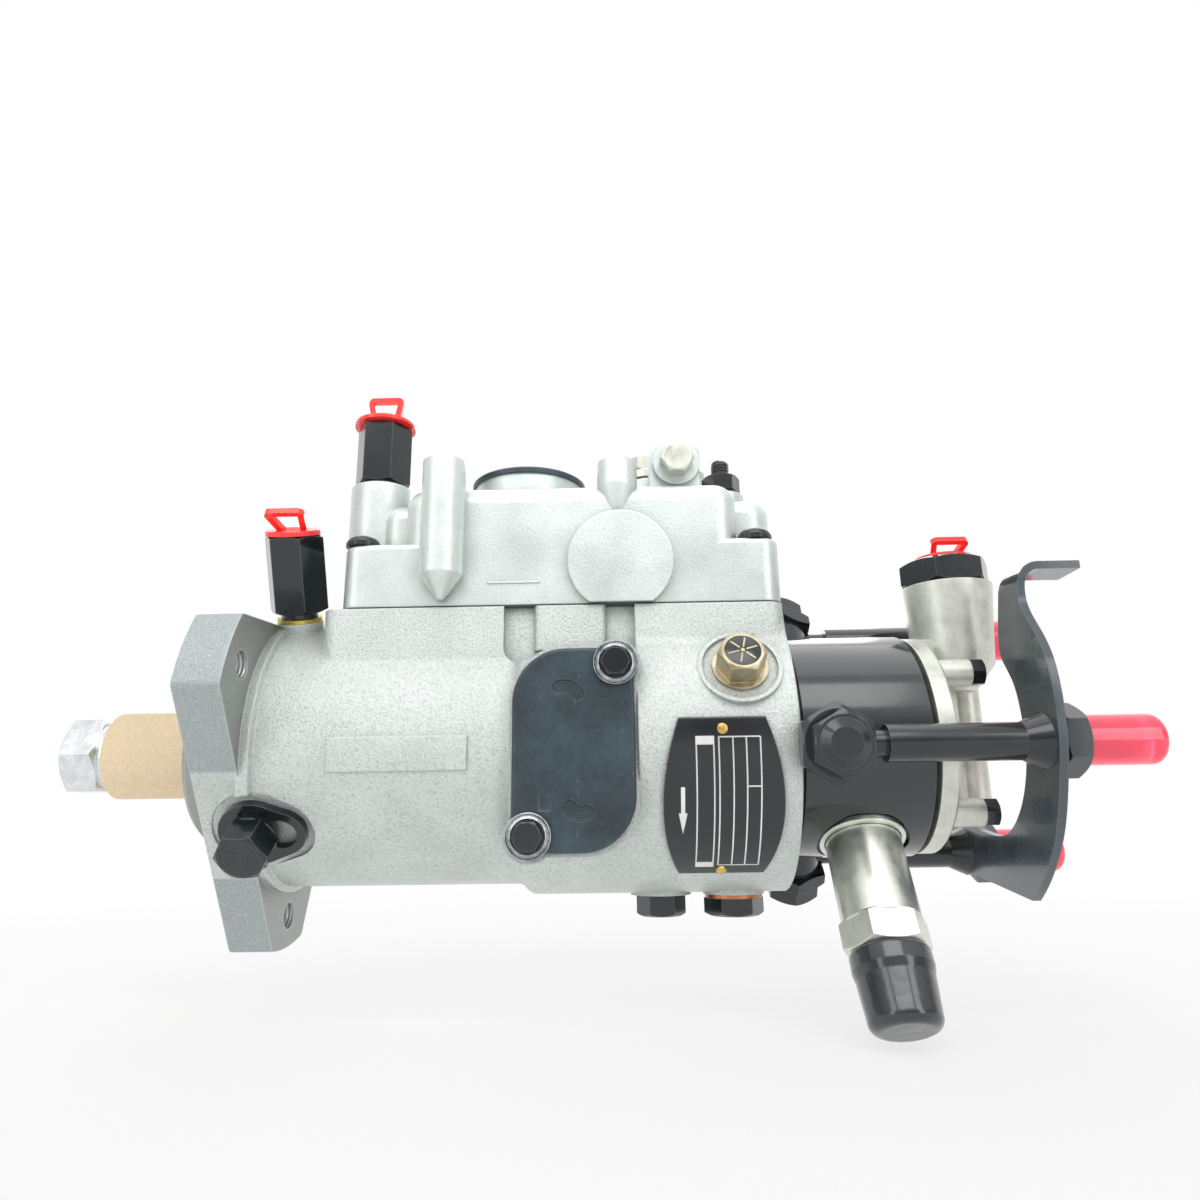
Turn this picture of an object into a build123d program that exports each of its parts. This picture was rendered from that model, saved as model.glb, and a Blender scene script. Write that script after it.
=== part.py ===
from build123d import *
from math import cos, radians, sin, sqrt
import os

# Rotary distributor injection pump with three outlets and a mechanical governor.
# Frame: +X along the drive axis from the drive end to the outlets, +Z up through the governor cover,
# +Y away from the nameplate side. Origin on the drive axis, in the flange's mounting face. Millimetres.
# Angles round the drive axis are measured from +Y towards +Z.

# ---------------------------------------------------------------- fits and clearances
seat_gap = 0.02          # parts of one assembly that are pressed or screwed together, per side
run_gap = 0.04           # running fits, per side
thread_gap = 0.05        # screw shank to its hole, per side
cut_over = 1.0           # how far a cutting tool runs past the face it opens

# ---------------------------------------------------------------- flange and housing
flange_thickness = 14.0
ear_angles = (35.0, 155.0, 275.0)
ear_half_angle = 11.5
ear_radius = 64.0
ear_corner = 2.5
stud_circle_radius = 54.0
stud_hole_radius = 4.25
pilot_radius = 30.0
pilot_length = 11.5
pilot_chamfer = 1.5
band_width = 2.6
body_radius = 44.0
band_radius = body_radius + 1.8
step_x = 96.0
step_run = 3.0
head_radius = 37.0
head_wall = 10.3
rear_radius = head_radius + head_wall
head_joint_x = 180.0
box_left = 32.5
box_half_width = 36.5
box_corner = 5.0
joint_z = 42.5
journal_radius = 11.0
seal_bore_radius = 17.0
seal_bore_end = 6.0
governor_start = 33.0
governor_radius = 36.2
bore_step_x = 100.0
window_left = 41.0
window_right = 142.0
window_half_width = 21.0
window_floor = 20.0
cast_fillet = 2.0
step_fillet = 4.0
seam_fillet = 6.0
recess_fillet = 5.0

pad_left, pad_right = 39.5, 81.5
pad_bottom, pad_top = -9.0, 1.2
pad_height = 0.5

recess_left, recess_right = 91.0, 132.5
recess_depth = 2.9
recess_floor_y = recess_depth - box_half_width
recess_bottom = 24.0
block_left, block_right = 100.5, 123.5
block_bottom = 28.0

# ---------------------------------------------------------------- inspection cover
door_left, door_right = 95.3, 131.5
door_bottom, door_top = -33.0, 26.3
door_large_corner = 16.0
door_small_corner = 5.5
door_seat_y = -45.4
door_gasket = 0.5
door_thickness = 2.6
door_screws = ((126.1, 21.4), (100.4, -28.1))
door_lug_radius = 6.8
door_window = (103.5, 124.0, -20.0, 14.0)

# ---------------------------------------------------------------- screws and fittings on the housing
head_screw_x = 164.0
head_screw_angles = (153.7, 26.3)
head_screw_seat = rear_radius - 0.8
head_screw_boss = 13.0
head_screw_rim = rear_radius + 0.2
head_screw_spot = 11.5
head_screw_flats = 13.0
head_screw_radius = 4.0
head_screw_tip = head_radius - 4.0
bottom_seat = rear_radius + 0.6
locating_x = 163.8
locating_flats = 17.0
locating_tip = head_radius - 7.0
cam_plug_x = 139.8
cam_plug_flats = 14.0
cam_plug_tip = head_radius + 1.5
bottom_screw_radius = 5.0
bottom_washer = 1.2

lock_x = 16.5
lock_angle = 217.0
lock_floor = body_radius - 2.0
lock_pocket_radius = 13.5
lock_loop_offset = 8.0
lock_loop_radius = 9.4
lock_loop_hole = 5.0
spacer_thickness = 2.5
spacer_radius = 10.8
lock_flats = 14.0
lock_head = 9.5
lock_collar = 1.6
lock_screw_radius = 4.0

vent_x = 19.5
vent_angle = 114.0
vent_seat = body_radius + 3.0
vent_boss = 7.5
vent_neck_radius = 4.0
vent_flats = 17.0
vent_hex = 26.0
vent_neck = 2.0
vent_washer = 1.4
vent_tip = 36.0

# ---------------------------------------------------------------- governor cover
gasket_thickness = 0.6
cover_left, cover_right = 37.6, 180.0
cover_half_width = 36.0
cover_corner = 6.0
cover_flange_top = 64.5
union_relief_radius = 12.8
union_relief_start = rear_radius + 0.2
union_relief_end = union_relief_start + 19.0
hood_left, hood_right = 57.0, 167.0
hood_back = 33.0
hood_top = 84.5
hood_corner = 7.5
hood_round = 6.5
cavity_left, cavity_right = 41.5, 167.0
cavity_half_width = 25.5
cavity_step = 60.0
upper_left, upper_right = 63.0, 161.0
cavity_top = 80.0
cover_screw_x = (43.0, 172.8)
cover_screw_y = 30.4
cover_screw_radius = 3.0
cover_screw_points = [(x, y) for x in cover_screw_x for y in (-cover_screw_y, cover_screw_y)]
cover_screw_depth = 12.0
cover_head_radius = 5.4
cover_head = 3.5
cap_x, cap_y = 95.4, -3.0
cap_boss_radius = 19.9
cap_boss_top = 94.0
cap_radius = 20.8
cap_thickness = 2.0
pillar_x, pillar_y = 70.9, -38.5
pillar_radius = 7.0
pillar_top = 91.0
pillar_foot = 52.5
pillar_tip = 44.4
rear_pillar_x, rear_pillar_y = 127.7, -33.0
rear_pillar_radius = 6.6
rear_pillar_top = 91.8
rear_pillar_waist = 83.0
rear_pillar_tip = 72.0
face_x, face_z = 128.3, 56.8
face_radius = 17.0
face_y = -38.2
lug_left, lug_right = 139.2, 156.6
lug_front, lug_back = -22.0, -9.0
lug_top = 103.0
lug_corner = 3.0
lug_bolt_x, lug_bolt_z = 148.5, 96.2
lug_spot_radius = 8.2
lug_spot_height = 2.0
leak_x, leak_y = 43.6, -14.0
leak_boss_radius = 10.6
leak_boss_top = 91.2
leak_neck_radius = 8.2
leak_neck = 1.5
leak_flats = 17.0
leak_shank = 14.0
leak_hex = 22.9
fitting_bore = 5.6
stud_x, stud_y = 166.0, -5.0
stud_boss_radius = 8.0
stud_boss_top = 89.6
stud_radius = 3.0
stud_top = 103.6
stud_nut_flats = 12.0
stud_nut_height = 6.4
stud_foot_radius = 5.6
stud_foot = 1.4
shoulder_left = 158.0
front_shoulder_left = 46.0
front_shoulder_y = (-26.0, 20.0)
front_shoulder_top = 82.5
shoulder_y = (-24.0, 22.0)
shoulder_top = 83.0
shoulder_corner = 8.0

# ---------------------------------------------------------------- throttle
throttle_x, throttle_y = 139.5, 5.0
throttle_boss_radius = 8.5
throttle_boss_top = 99.0
throttle_shaft_radius = 4.5
throttle_pin_radius = 3.5
lever_base = 100.2
lever_thickness = 3.2
lever_hub_radius = 7.8
lever_reach = 16.5
lever_end_radius = 5.4
lever_hole_radius = 2.6
throttle_nut_flats = 13.0
throttle_nut_height = 6.0

# ---------------------------------------------------------------- hydraulic head
head_start = 124.0
head_end = 223.3
head_groove_x = 182.6
seal_x = 150.0
seal_wire = 1.3
rotor_radius = 11.0
transfer_radius = 19.0
transfer_depth = 10.0

outlet_angles = (184.0, 64.0, 304.0)
outlet_x = 189.3
outlet_standoff = 7.0
outlet_radius = head_radius + outlet_standoff
outlet_seat = head_radius - 0.7
outlet_spot_radius = 12.4
banjo_radius = 9.0
banjo_hex_start = outlet_radius + 4.0
banjo_hex_end = banjo_hex_start + 5.6
banjo_flats = 21.0
outlet_bolt_radius = 5.0
outlet_bolt_flats = 17.0
outlet_bolt_head = 6.6
outlet_bolt_crown = 1.8
outlet_bolt_crown_radius = 4.6
outlet_bolt_tip = outlet_seat - 8.3
neck_start, neck_end = 195.3, 205.0
neck_radius = 3.8
pipe_radius = 5.6
pipe_bore = 1.2
pipe_end = 276.0
cone_start = 244.6
cone_radius = 8.4
bracket_x = 250.9
bracket_thickness = 2.5
outlet_nut_flats = 19.0
outlet_nut_height = 7.6
outlet_cap_radius = 7.4
outlet_cap_end = 284.5

bracket_outer = 54.5
bracket_inner = 30.0
bracket_front_edge = (
    (-42.8, 47.4), (-42.0, 38.5), (-46.5, 31.1), (-51.8, 22.2), (-54.4, 9.0),
    (-53.6, -5.0), (-50.1, -16.6), (-45.5, -27.2), (-36.8, -38.9), (-24.2, -49.3),
)
bracket_arm_edge = (
    (7.4, -29.07), (-1.6, -30.4), (-12.6, -29.9), (-22.0, -24.6), (-29.1, -15.9),
    (-33.2, -4.0), (-33.2, 5.0), (-29.6, 18.0), (-24.6, 26.0), (-25.6, 36.0), (-29.0, 47.0),
)
bracket_foot = (27.5, -43.1)
bracket_arm_top = 52.3
bracket_tab = 19.8
bracket_bend = 7.0
bracket_rear_gap = (10.6, 28.063)
bracket_rear_corner = 72.0

# ---------------------------------------------------------------- end plate and inlet
plate_end = 230.6
plate_radius = head_radius - 0.8
plate_chamfer = 1.0
plate_screw_circle = 31.0
plate_screw_angles = (48.0, 138.0, 228.0, 318.0)
plate_boss_radius = 4.4
plate_boss_end = 240.4
plate_screw_radius = 2.5
plate_screw_tip = 212.0
plate_screw_flats = 8.0
plate_screw_head = 4.4
inlet_x, inlet_y = 244.0, -4.0
inlet_bottom, inlet_top = 26.0, 54.0
inlet_bottom_radius, inlet_top_radius = 13.0, 15.3
inlet_flats = 27.0
inlet_hex = 9.4
inlet_spigot_radius = 10.0
inlet_spigot = 11.0
inlet_bore = 6.6
inlet_counterbore = 14.0
rib_x = 247.0
rib_radius = 5.4
rib_bottom = -26.0
rib_web = 8.0
valve_bore_radius = 3.2
valve_low, valve_high = -21.0, 16.0
piston_length = 12.0

# ---------------------------------------------------------------- stop solenoid
solenoid_x = 203.0
solenoid_angle = 240.0
solenoid_seat = head_radius - 2.6
solenoid_spot_radius = 14.4
solenoid_radius = 11.6
solenoid_barrel = 27.6
solenoid_hex_start = solenoid_seat + solenoid_barrel
solenoid_hex_end = solenoid_hex_start + 9.6
solenoid_flats = 22.4
solenoid_thread_radius = 8.0
solenoid_tip = solenoid_seat - 10.4
solenoid_stub_radius = 8.4
solenoid_stub_end = solenoid_hex_end + 14.4
boot_end = solenoid_hex_end + 21.2
boot_radius = 11.6
boot_tip_radius = 10.0
boot_bore = 8.8
boot_round = 3.0
armature_radius = 3.0
armature_low = solenoid_tip + 3.0
armature_high = armature_low + 12.0
armature_travel = 1.5

# ---------------------------------------------------------------- plugs
plug_disc = 1.7
plug_stem = 7.0
loop_bar = 2.0
loop_height = 10.6
vent_loop_lean = 50.0
inlet_loop_lean = 65.0
loop_top_width = 13.6
loop_base_width = 9.4

# ---------------------------------------------------------------- nameplate
plate_x = 157.0
plate_angle = 205.0
plate_half_height = 24.6
plate_end_half_width = 12.8
plate_mid_half_width = 17.7
nameplate_thickness = 1.0

# ---------------------------------------------------------------- drive shaft
thread_end = -63.5
thread_radius = 8.0
taper_start, taper_end = -40.0, -14.0
taper_small, taper_large = 8.7, 10.0
shaft_shoulder = 86.0
shaft_spigot_radius = 9.0
nut_start, nut_end = -62.0, -49.6
nut_flats = 24.0
nut_collar_radius = 12.4
sleeve_start = -46.2
sleeve_radius = 14.7
sleeve_bore = 11.4
key_width = 4.0
key_start, key_end = -36.0, -22.0
key_bottom, key_top = 6.2, 11.1

# ---------------------------------------------------------------- governor train
weight_count = 4
weight_pivot_x = 84.0
weight_pivot_radius = 23.5
weight_start, weight_end = 60.0, 80.5
weight_inner, weight_outer = 18.0, 27.5
weight_half_width = 8.5
toe_tip_radius = 14.6
toe_start, toe_end = 80.3, 83.5
trunnion_radius = 1.5
ear_inner, ear_outer = 8.8, 11.2
retainer_start, retainer_end = 88.0, 91.0
retainer_radius = 32.0
hub_radius = 14.0
hub_end = 96.0
thrust_start, thrust_end = 50.0, 80.0
thrust_radius = 13.4
thrust_flange = 17.0
thrust_flange_width = 2.6
arm_pivot_z = 32.0
arm_thickness = 2.5
arm_top = 58.0
arm_half_width = 12.0
fork_half_width = 15.6
fork_bottom, fork_top = -5.0, 20.0
arm_pin_radius = 2.0
bracket_ear = (16.6, 19.4)
bracket_plate_half = 25.0
link_z = 54.0
link_y = 8.0
link_radius = 1.0
metering_x = 131.0
metering_radius = 4.0
metering_bottom, metering_top = 17.0, 45.0
metering_arm_thickness = 2.0

# ---------------------------------------------------------------- pumping section
drive_plate_start, drive_plate_end = 96.5, 101.4
drive_plate_radius = 20.0
adjusting_radius = 24.0
adjusting_thickness = 2.6
cam_start, cam_end = 104.3, 121.0
cam_lobe_radius = 24.8
cam_valley_circle = 19.6
cam_valley_radius = 7.6
cam_valleys = 6
pump_radius = 17.0
plunger_radius = 3.5
plunger_inner, plunger_outer = 2.5, 12.3
shoe_start, shoe_end = 106.2, 119.0
shoe_half_width = 7.0
shoe_top = 20.4
roller_radius = 4.5
roller_circle = 19.6
liner_bore = 14.2
liner_offset = 1.2
transfer_rotor_radius = 12.85
blade_width = 3.0
blade_tip = 12.88
rotor_end_radius = 8.0

LOW = (Align.CENTER, Align.CENTER, Align.MIN)
HIGH = (Align.CENTER, Align.CENTER, Align.MAX)
cover_base = joint_z + gasket_thickness
lever_z = lever_base + lever_thickness
nut_seat_x = bracket_x + bracket_thickness
head_bore = head_radius + seat_gap * 2


# ---------------------------------------------------------------- planes and repeated forms
def across(x):
    """Plane square to the drive axis: local x is +Y, local y is +Z."""
    return Plane(origin=(x, 0, 0), x_dir=(0, 1, 0), z_dir=(1, 0, 0))


def outward(x, angle, radius=0.0):
    """Plane facing away from the drive axis at an angle: local x is +X."""
    c, s = cos(radians(angle)), sin(radians(angle))
    return Plane(origin=(x, radius * c, radius * s), x_dir=(1, 0, 0), z_dir=(0, c, s))


def front(y):
    """Plane facing the nameplate side: local x is +X, local y is +Z."""
    return Plane(origin=(0, y, 0), x_dir=(1, 0, 0), z_dir=(0, -1, 0))


def polar(radius, angle):
    return (radius * cos(radians(angle)), radius * sin(radians(angle)))


def lengthways(radius, angle, x):
    """Plane square to the drive axis whose origin is off the axis."""
    y, z = polar(radius, angle)
    return Plane(origin=(x, y, z), x_dir=(0, 1, 0), z_dir=(1, 0, 0))


def hex_blank(flats, height, bevel_bottom=False):
    """Hexagon, flats facing local y, with its corners turned off at the top, and at the bottom if asked."""
    corner = flats / sqrt(3) + 0.01
    crown = flats * 0.475
    drop = (corner - crown) * 0.55
    top = [(corner, height - drop), (crown, height), (0, height)]
    bottom = [(0, 0), (crown, 0), (corner, drop)] if bevel_bottom else [(0, 0), (corner, 0)]
    with BuildPart() as blank:
        with BuildSketch():
            RegularPolygon(flats / 2, 6, major_radius=False)
        extrude(amount=height)
        with BuildSketch(Plane.XZ):
            with BuildLine():
                Polyline(*bottom, *top, close=True)
            make_face()
        revolve(axis=Axis.Z, mode=Mode.INTERSECT)
    return blank.part


def hex_screw(flats, head, radius, length, collar_radius=0.0, collar=0.0):
    """Hexagon screw: seat at z 0, head up, shank down."""
    blank = hex_blank(flats, head)
    with BuildPart() as screw:
        with Locations((0, 0, collar)):
            add(blank)
        if collar > 0:
            Cylinder(collar_radius, collar, align=LOW)
        Cylinder(radius, length, align=HIGH)
    return screw.part


def button_screw(head_radius, head, radius, length):
    """Round-headed screw: seat at z 0, head up, shank down."""
    with BuildPart() as screw:
        Cylinder(head_radius, head, align=LOW)
        fillet(screw.edges().group_by(Axis.Z)[-1], head * 0.6)
        Cylinder(radius, length, align=HIGH)
    return screw.part


def hex_nut(flats, height, bore):
    blank = hex_blank(flats, height, bevel_bottom=True)
    with BuildPart() as nut:
        add(blank)
        Cylinder(bore, height, align=LOW, mode=Mode.SUBTRACT)
    return nut.part


def union_fitting(flats, hex_height, neck_radius, neck_height, shank_radius, shank, bore):
    """Hollow screw-in fitting: seat at z 0, hexagon up."""
    blank = hex_blank(flats, hex_height, bevel_bottom=True)
    with BuildPart() as fitting:
        with Locations((0, 0, neck_height)):
            add(blank)
        Cylinder(neck_radius, neck_height + flats * 0.1, align=LOW)
        Cylinder(shank_radius, shank, align=HIGH)
        with Locations((0, 0, neck_height + hex_height)):
            Cylinder(bore, hex_height * 0.8, align=HIGH, mode=Mode.SUBTRACT)
        Cylinder(shank_radius * 0.5, shank * 2 + hex_height, mode=Mode.SUBTRACT)
    return fitting.part


def pull_loop():
    """Trapezoid loop of a plug, standing on z 0 in the XZ plane."""
    half_top = loop_top_width / 2
    half_base = loop_base_width / 2
    with BuildPart() as bow:
        with BuildSketch(Plane.XZ.offset(-loop_bar / 2)) as outline:
            with BuildLine():
                Polyline(
                    (-half_base, -plug_disc / 2),
                    (half_base, -plug_disc / 2),
                    (half_top, loop_height),
                    (-half_top, loop_height),
                    close=True,
                )
            make_face()
            fillet(outline.vertices().group_by(Axis.Y)[-1], loop_bar)
            with BuildLine():
                Polyline(
                    (-half_base + loop_bar, 0),
                    (half_base - loop_bar, 0),
                    (half_top - loop_bar * 1.2, loop_height - loop_bar),
                    (-half_top + loop_bar * 1.2, loop_height - loop_bar),
                    close=True,
                )
            make_face(mode=Mode.SUBTRACT)
        extrude(amount=loop_bar)
    return bow.part


def transit_plug(disc_radius, stem_radius, lean=0.0):
    """Push-in plug with a pull loop: disc seat at z 0, loop folded over towards -Y by the lean."""
    bow = Pos(0, 0, plug_disc) * Rot(lean, 0, 0) * pull_loop()
    with BuildPart() as plug:
        Cylinder(disc_radius, plug_disc, align=LOW)
        fillet(plug.edges().group_by(Axis.Z)[-1], plug_disc * 0.4)
        Cylinder(stem_radius, plug_stem, align=HIGH)
        add(bow)
    return plug.part


def door_outline(grow=0.0):
    """Outline of the inspection cover in X and Z: two large and two small corners, a lug at each screw."""
    mid_x = (door_left + door_right) / 2
    mid_z = (door_bottom + door_top) / 2
    with BuildSketch() as outline:
        with Locations((mid_x, mid_z)):
            Rectangle(door_right - door_left + 2 * grow, door_top - door_bottom + 2 * grow)
        corners = outline.vertices().sort_by(lambda v: v.X - v.Y)
        fillet([corners[0], corners[-1]], door_large_corner)
        corners = outline.vertices().sort_by(lambda v: v.X + v.Y)
        fillet([corners[0], corners[-1]], door_small_corner)
        with Locations(*door_screws):
            Circle(door_lug_radius + grow)
    return outline.sketch


def cover_outline():
    """Outline shared by the governor cover's flange and its gasket."""
    with BuildSketch() as outline:
        with Locations(((cover_left + cover_right) / 2, 0)):
            Rectangle(cover_right - cover_left, 2 * cover_half_width)
        fillet(outline.vertices(), cover_corner)
    return outline.sketch


def box_between(x0, x1, y0, y1, z0, z1):
    """Plain block by its limits, made outside any builder."""
    return Pos((x0 + x1) / 2, (y0 + y1) / 2, (z0 + z1) / 2) * Box(x1 - x0, y1 - y0, z1 - z0)


def save(part, name):
    part.label = name
    export_step(part, "parts/" + name + ".step")


os.makedirs("parts", exist_ok=True)

# ================================================================ pump housing
door_face = door_outline(1.0)
door_plan = door_outline()
cover_plan = cover_outline()
door_hole = box_between(
    door_window[0], door_window[1], -rear_radius - 5, -window_half_width, door_window[2], door_window[3]
)
top_window = box_between(
    window_left, window_right, -window_half_width, window_half_width, window_floor, joint_z + cut_over
)
above_joint = box_between(
    box_left, head_joint_x + 1, -body_radius, body_radius, joint_z, joint_z + body_radius
)
recess = box_between(
    recess_left, recess_right, -rear_radius - 5, recess_floor_y, recess_bottom, joint_z + cut_over
)
block = box_between(block_left, block_right, -box_half_width, recess_floor_y + 1, block_bottom, joint_z)
recess = fillet(recess.edges().filter_by(Axis.Y).group_by(Axis.Z)[0], recess_fillet)
block = fillet(block.edges().filter_by(Axis.Z).group_by(Axis.Y)[0], cast_fillet)
bay_pad = box_between(pad_left, pad_right, -body_radius - 5, -body_radius + 5, pad_bottom, pad_top)
bay_ring = Pos((pad_left + pad_right) / 2, 0, 0) * Rot(0, 90, 0) * Cylinder(
    body_radius + pad_height, pad_right - pad_left
)
bay_pad = bay_pad & bay_ring
union_relief = outward(outlet_x, outlet_angles[1], union_relief_start) * Cylinder(
    union_relief_radius, union_relief_end - union_relief_start, align=LOW
)

with BuildPart() as pump_housing:
    with BuildSketch(Plane.XZ) as barrel:
        with BuildLine():
            Polyline(
                (flange_thickness / 2, 0),
                (flange_thickness / 2, body_radius),
                (step_x - step_run / 2, body_radius),
                (step_x + step_run / 2, rear_radius),
                (head_joint_x, rear_radius),
                (head_joint_x, 0),
                close=True,
            )
        make_face()
        steps = barrel.vertices().filter_by(lambda v: abs(v.X - step_x) < step_run)
        fillet(steps, step_fillet)
    revolve(axis=Axis.X)
    with BuildSketch() as box_plan:
        with Locations((box_left, 0)):
            Rectangle(
                head_joint_x - box_left, 2 * box_half_width, align=(Align.MIN, Align.CENTER)
            )
        fillet(box_plan.vertices(), box_corner)
    extrude(amount=joint_z)
    walls = pump_housing.edges().filter_by(lambda e: abs(abs(e.center().Y) - box_half_width) < 0.3)
    fillet(walls.filter_by_position(Axis.Z, 1.0, joint_z - 1.0), seam_fillet)
    with BuildSketch(across(0)) as flange_face:
        with BuildLine():
            for index, angle in enumerate(ear_angles):
                following = ear_angles[(index + 1) % len(ear_angles)]
                ThreePointArc(
                    polar(ear_radius, angle - ear_half_angle),
                    polar(ear_radius, angle),
                    polar(ear_radius, angle + ear_half_angle),
                )
                Line(
                    polar(ear_radius, angle + ear_half_angle),
                    polar(ear_radius, following - ear_half_angle),
                )
        make_face()
        fillet(flange_face.vertices(), ear_corner)
    extrude(amount=flange_thickness)
    with BuildSketch(Plane.XZ):
        with BuildLine():
            Polyline(
                (-pilot_length, 0),
                (-pilot_length, pilot_radius - pilot_chamfer),
                (-pilot_length + pilot_chamfer, pilot_radius),
                (0, pilot_radius),
                (flange_thickness - cut_over, band_radius),
                (flange_thickness + band_width, band_radius),
                (flange_thickness + band_width + 1, body_radius),
                (flange_thickness + band_width + 1, 0),
                close=True,
            )
        make_face()
    revolve(axis=Axis.X)
    add(recess, mode=Mode.SUBTRACT)
    add(block)
    add(bay_pad)
    with BuildSketch(front(door_seat_y)):
        add(door_face)
    extrude(amount=door_seat_y + window_half_width + 8)
    with BuildSketch(front(door_seat_y)):
        add(door_face)
    extrude(amount=10, mode=Mode.SUBTRACT)
    add(above_joint, mode=Mode.SUBTRACT)
    with Locations([outward(head_screw_x, angle) for angle in head_screw_angles]):
        Cylinder(head_screw_boss, head_screw_rim, align=LOW)
    with Locations(outward(locating_x, 270), outward(cam_plug_x, 270)):
        Cylinder(10.0, bottom_seat, align=LOW)
    with Locations(outward(vent_x, vent_angle)):
        Cylinder(vent_boss, vent_seat, align=LOW)
    with Locations(outward(vent_x, vent_angle, vent_seat)):
        Cylinder(vent_boss, ear_radius - vent_seat, align=LOW, mode=Mode.SUBTRACT)
    # bores along the drive axis
    with BuildSketch(Plane.XZ):
        with BuildLine():
            Polyline(
                (-pilot_length - cut_over, 0),
                (-pilot_length - cut_over, seal_bore_radius),
                (seal_bore_end, seal_bore_radius),
                (seal_bore_end, journal_radius + run_gap),
                (governor_start, journal_radius + run_gap),
                (governor_start, governor_radius),
                (bore_step_x, governor_radius),
                (bore_step_x, head_bore),
                (head_joint_x + cut_over, head_bore),
                (head_joint_x + cut_over, 0),
                close=True,
            )
        make_face()
    revolve(axis=Axis.X, mode=Mode.SUBTRACT)
    add(top_window, mode=Mode.SUBTRACT)
    add(door_hole, mode=Mode.SUBTRACT)
    # stud holes
    with Locations([lengthways(stud_circle_radius, angle, -cut_over) for angle in ear_angles]):
        Cylinder(
            stud_hole_radius, flange_thickness + 2 * cut_over, align=LOW, mode=Mode.SUBTRACT
        )
    # pocket and hole of the shaft lock screw
    with BuildSketch(outward(lock_x, lock_angle, lock_floor)):
        Circle(lock_pocket_radius)
        with Locations((lock_loop_offset, 0)):
            Circle(lock_loop_radius + 0.8)
        make_hull()
    extrude(amount=ear_radius, mode=Mode.SUBTRACT)
    with Locations(outward(lock_x, lock_angle)):
        Cylinder(lock_screw_radius + thread_gap, ear_radius, align=LOW, mode=Mode.SUBTRACT)
    add(union_relief, mode=Mode.SUBTRACT)
    with Locations([outward(head_screw_x, angle, head_screw_seat) for angle in head_screw_angles]):
        Cylinder(head_screw_spot, 10, align=LOW, mode=Mode.SUBTRACT)
    # threaded holes
    with Locations([outward(head_screw_x, angle) for angle in head_screw_angles]):
        Cylinder(
            head_screw_radius + thread_gap, ear_radius, align=LOW, mode=Mode.SUBTRACT
        )
    with Locations(outward(locating_x, 270), outward(cam_plug_x, 270)):
        Cylinder(
            bottom_screw_radius + thread_gap, ear_radius, align=LOW, mode=Mode.SUBTRACT
        )
    with Locations(outward(vent_x, vent_angle, vent_tip - 1)):
        Cylinder(vent_neck_radius + thread_gap, ear_radius, align=LOW, mode=Mode.SUBTRACT)
    with Locations([(x, y, joint_z) for x, y in cover_screw_points]):
        Cylinder(
            cover_screw_radius + thread_gap,
            2 * (cover_screw_depth + cut_over),
            mode=Mode.SUBTRACT,
        )
    with Locations([(x, door_seat_y, z) for x, z in door_screws]):
        Cylinder(
            cover_screw_radius + thread_gap,
            2 * 9.0,
            rotation=(90, 0, 0),
            mode=Mode.SUBTRACT,
        )
save(pump_housing.part, "pump_housing")

# ================================================================ gaskets and inspection cover
door_plane = front(door_seat_y)
door_base = front(door_seat_y - door_gasket)
gasket_window = box_between(
    cavity_left, cavity_right, -cavity_half_width, cavity_half_width, joint_z, cover_base
)
with BuildPart() as gaskets:
    with BuildSketch(Plane.XY.offset(joint_z)):
        add(cover_plan)
        with Locations(*cover_screw_points):
            Circle(cover_screw_radius + thread_gap, mode=Mode.SUBTRACT)
    extrude(amount=gasket_thickness)
    add(gasket_window, mode=Mode.SUBTRACT)
    add(union_relief, mode=Mode.SUBTRACT)
    with BuildSketch(door_plane):
        add(door_plan)
        with Locations(((door_window[0] + door_window[1]) / 2, (door_window[2] + door_window[3]) / 2)):
            Rectangle(
                door_window[1] - door_window[0], door_window[3] - door_window[2], mode=Mode.SUBTRACT
            )
        with Locations(*door_screws):
            Circle(cover_screw_radius + thread_gap, mode=Mode.SUBTRACT)
    extrude(amount=door_gasket)
save(gaskets.part, "gaskets")

with BuildPart() as inspection_cover:
    with BuildSketch(door_base):
        add(door_plan)
    extrude(amount=door_thickness)
    chamfer(inspection_cover.edges().group_by(Axis.Y)[0], 0.5)
    with BuildSketch(front(door_seat_y - door_gasket - door_thickness)):
        with Locations((111.7, 14.2), (115.0, -20.3)):
            SlotOverall(9.6, 6.2)
        with Locations((104.8, -18.3)):
            Rectangle(3.6, 4.6)
    extrude(amount=0.5)
    with BuildSketch(door_base):
        with Locations(*door_screws):
            Circle(cover_screw_radius + thread_gap)
    extrude(amount=door_thickness, mode=Mode.SUBTRACT)
save(inspection_cover.part, "inspection_cover")

door_screw = hex_screw(8.0, 4.0, cover_screw_radius, 9.5, 6.1, 1.2)
with BuildPart() as inspection_screws:
    for door_x, door_z in door_screws:
        with Locations(
            Plane(
                origin=(door_x, door_seat_y - door_gasket - door_thickness, door_z),
                x_dir=(1, 0, 0),
                z_dir=(0, -1, 0),
            )
        ):
            add(door_screw)
save(inspection_screws.part, "inspection_screws")

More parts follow.
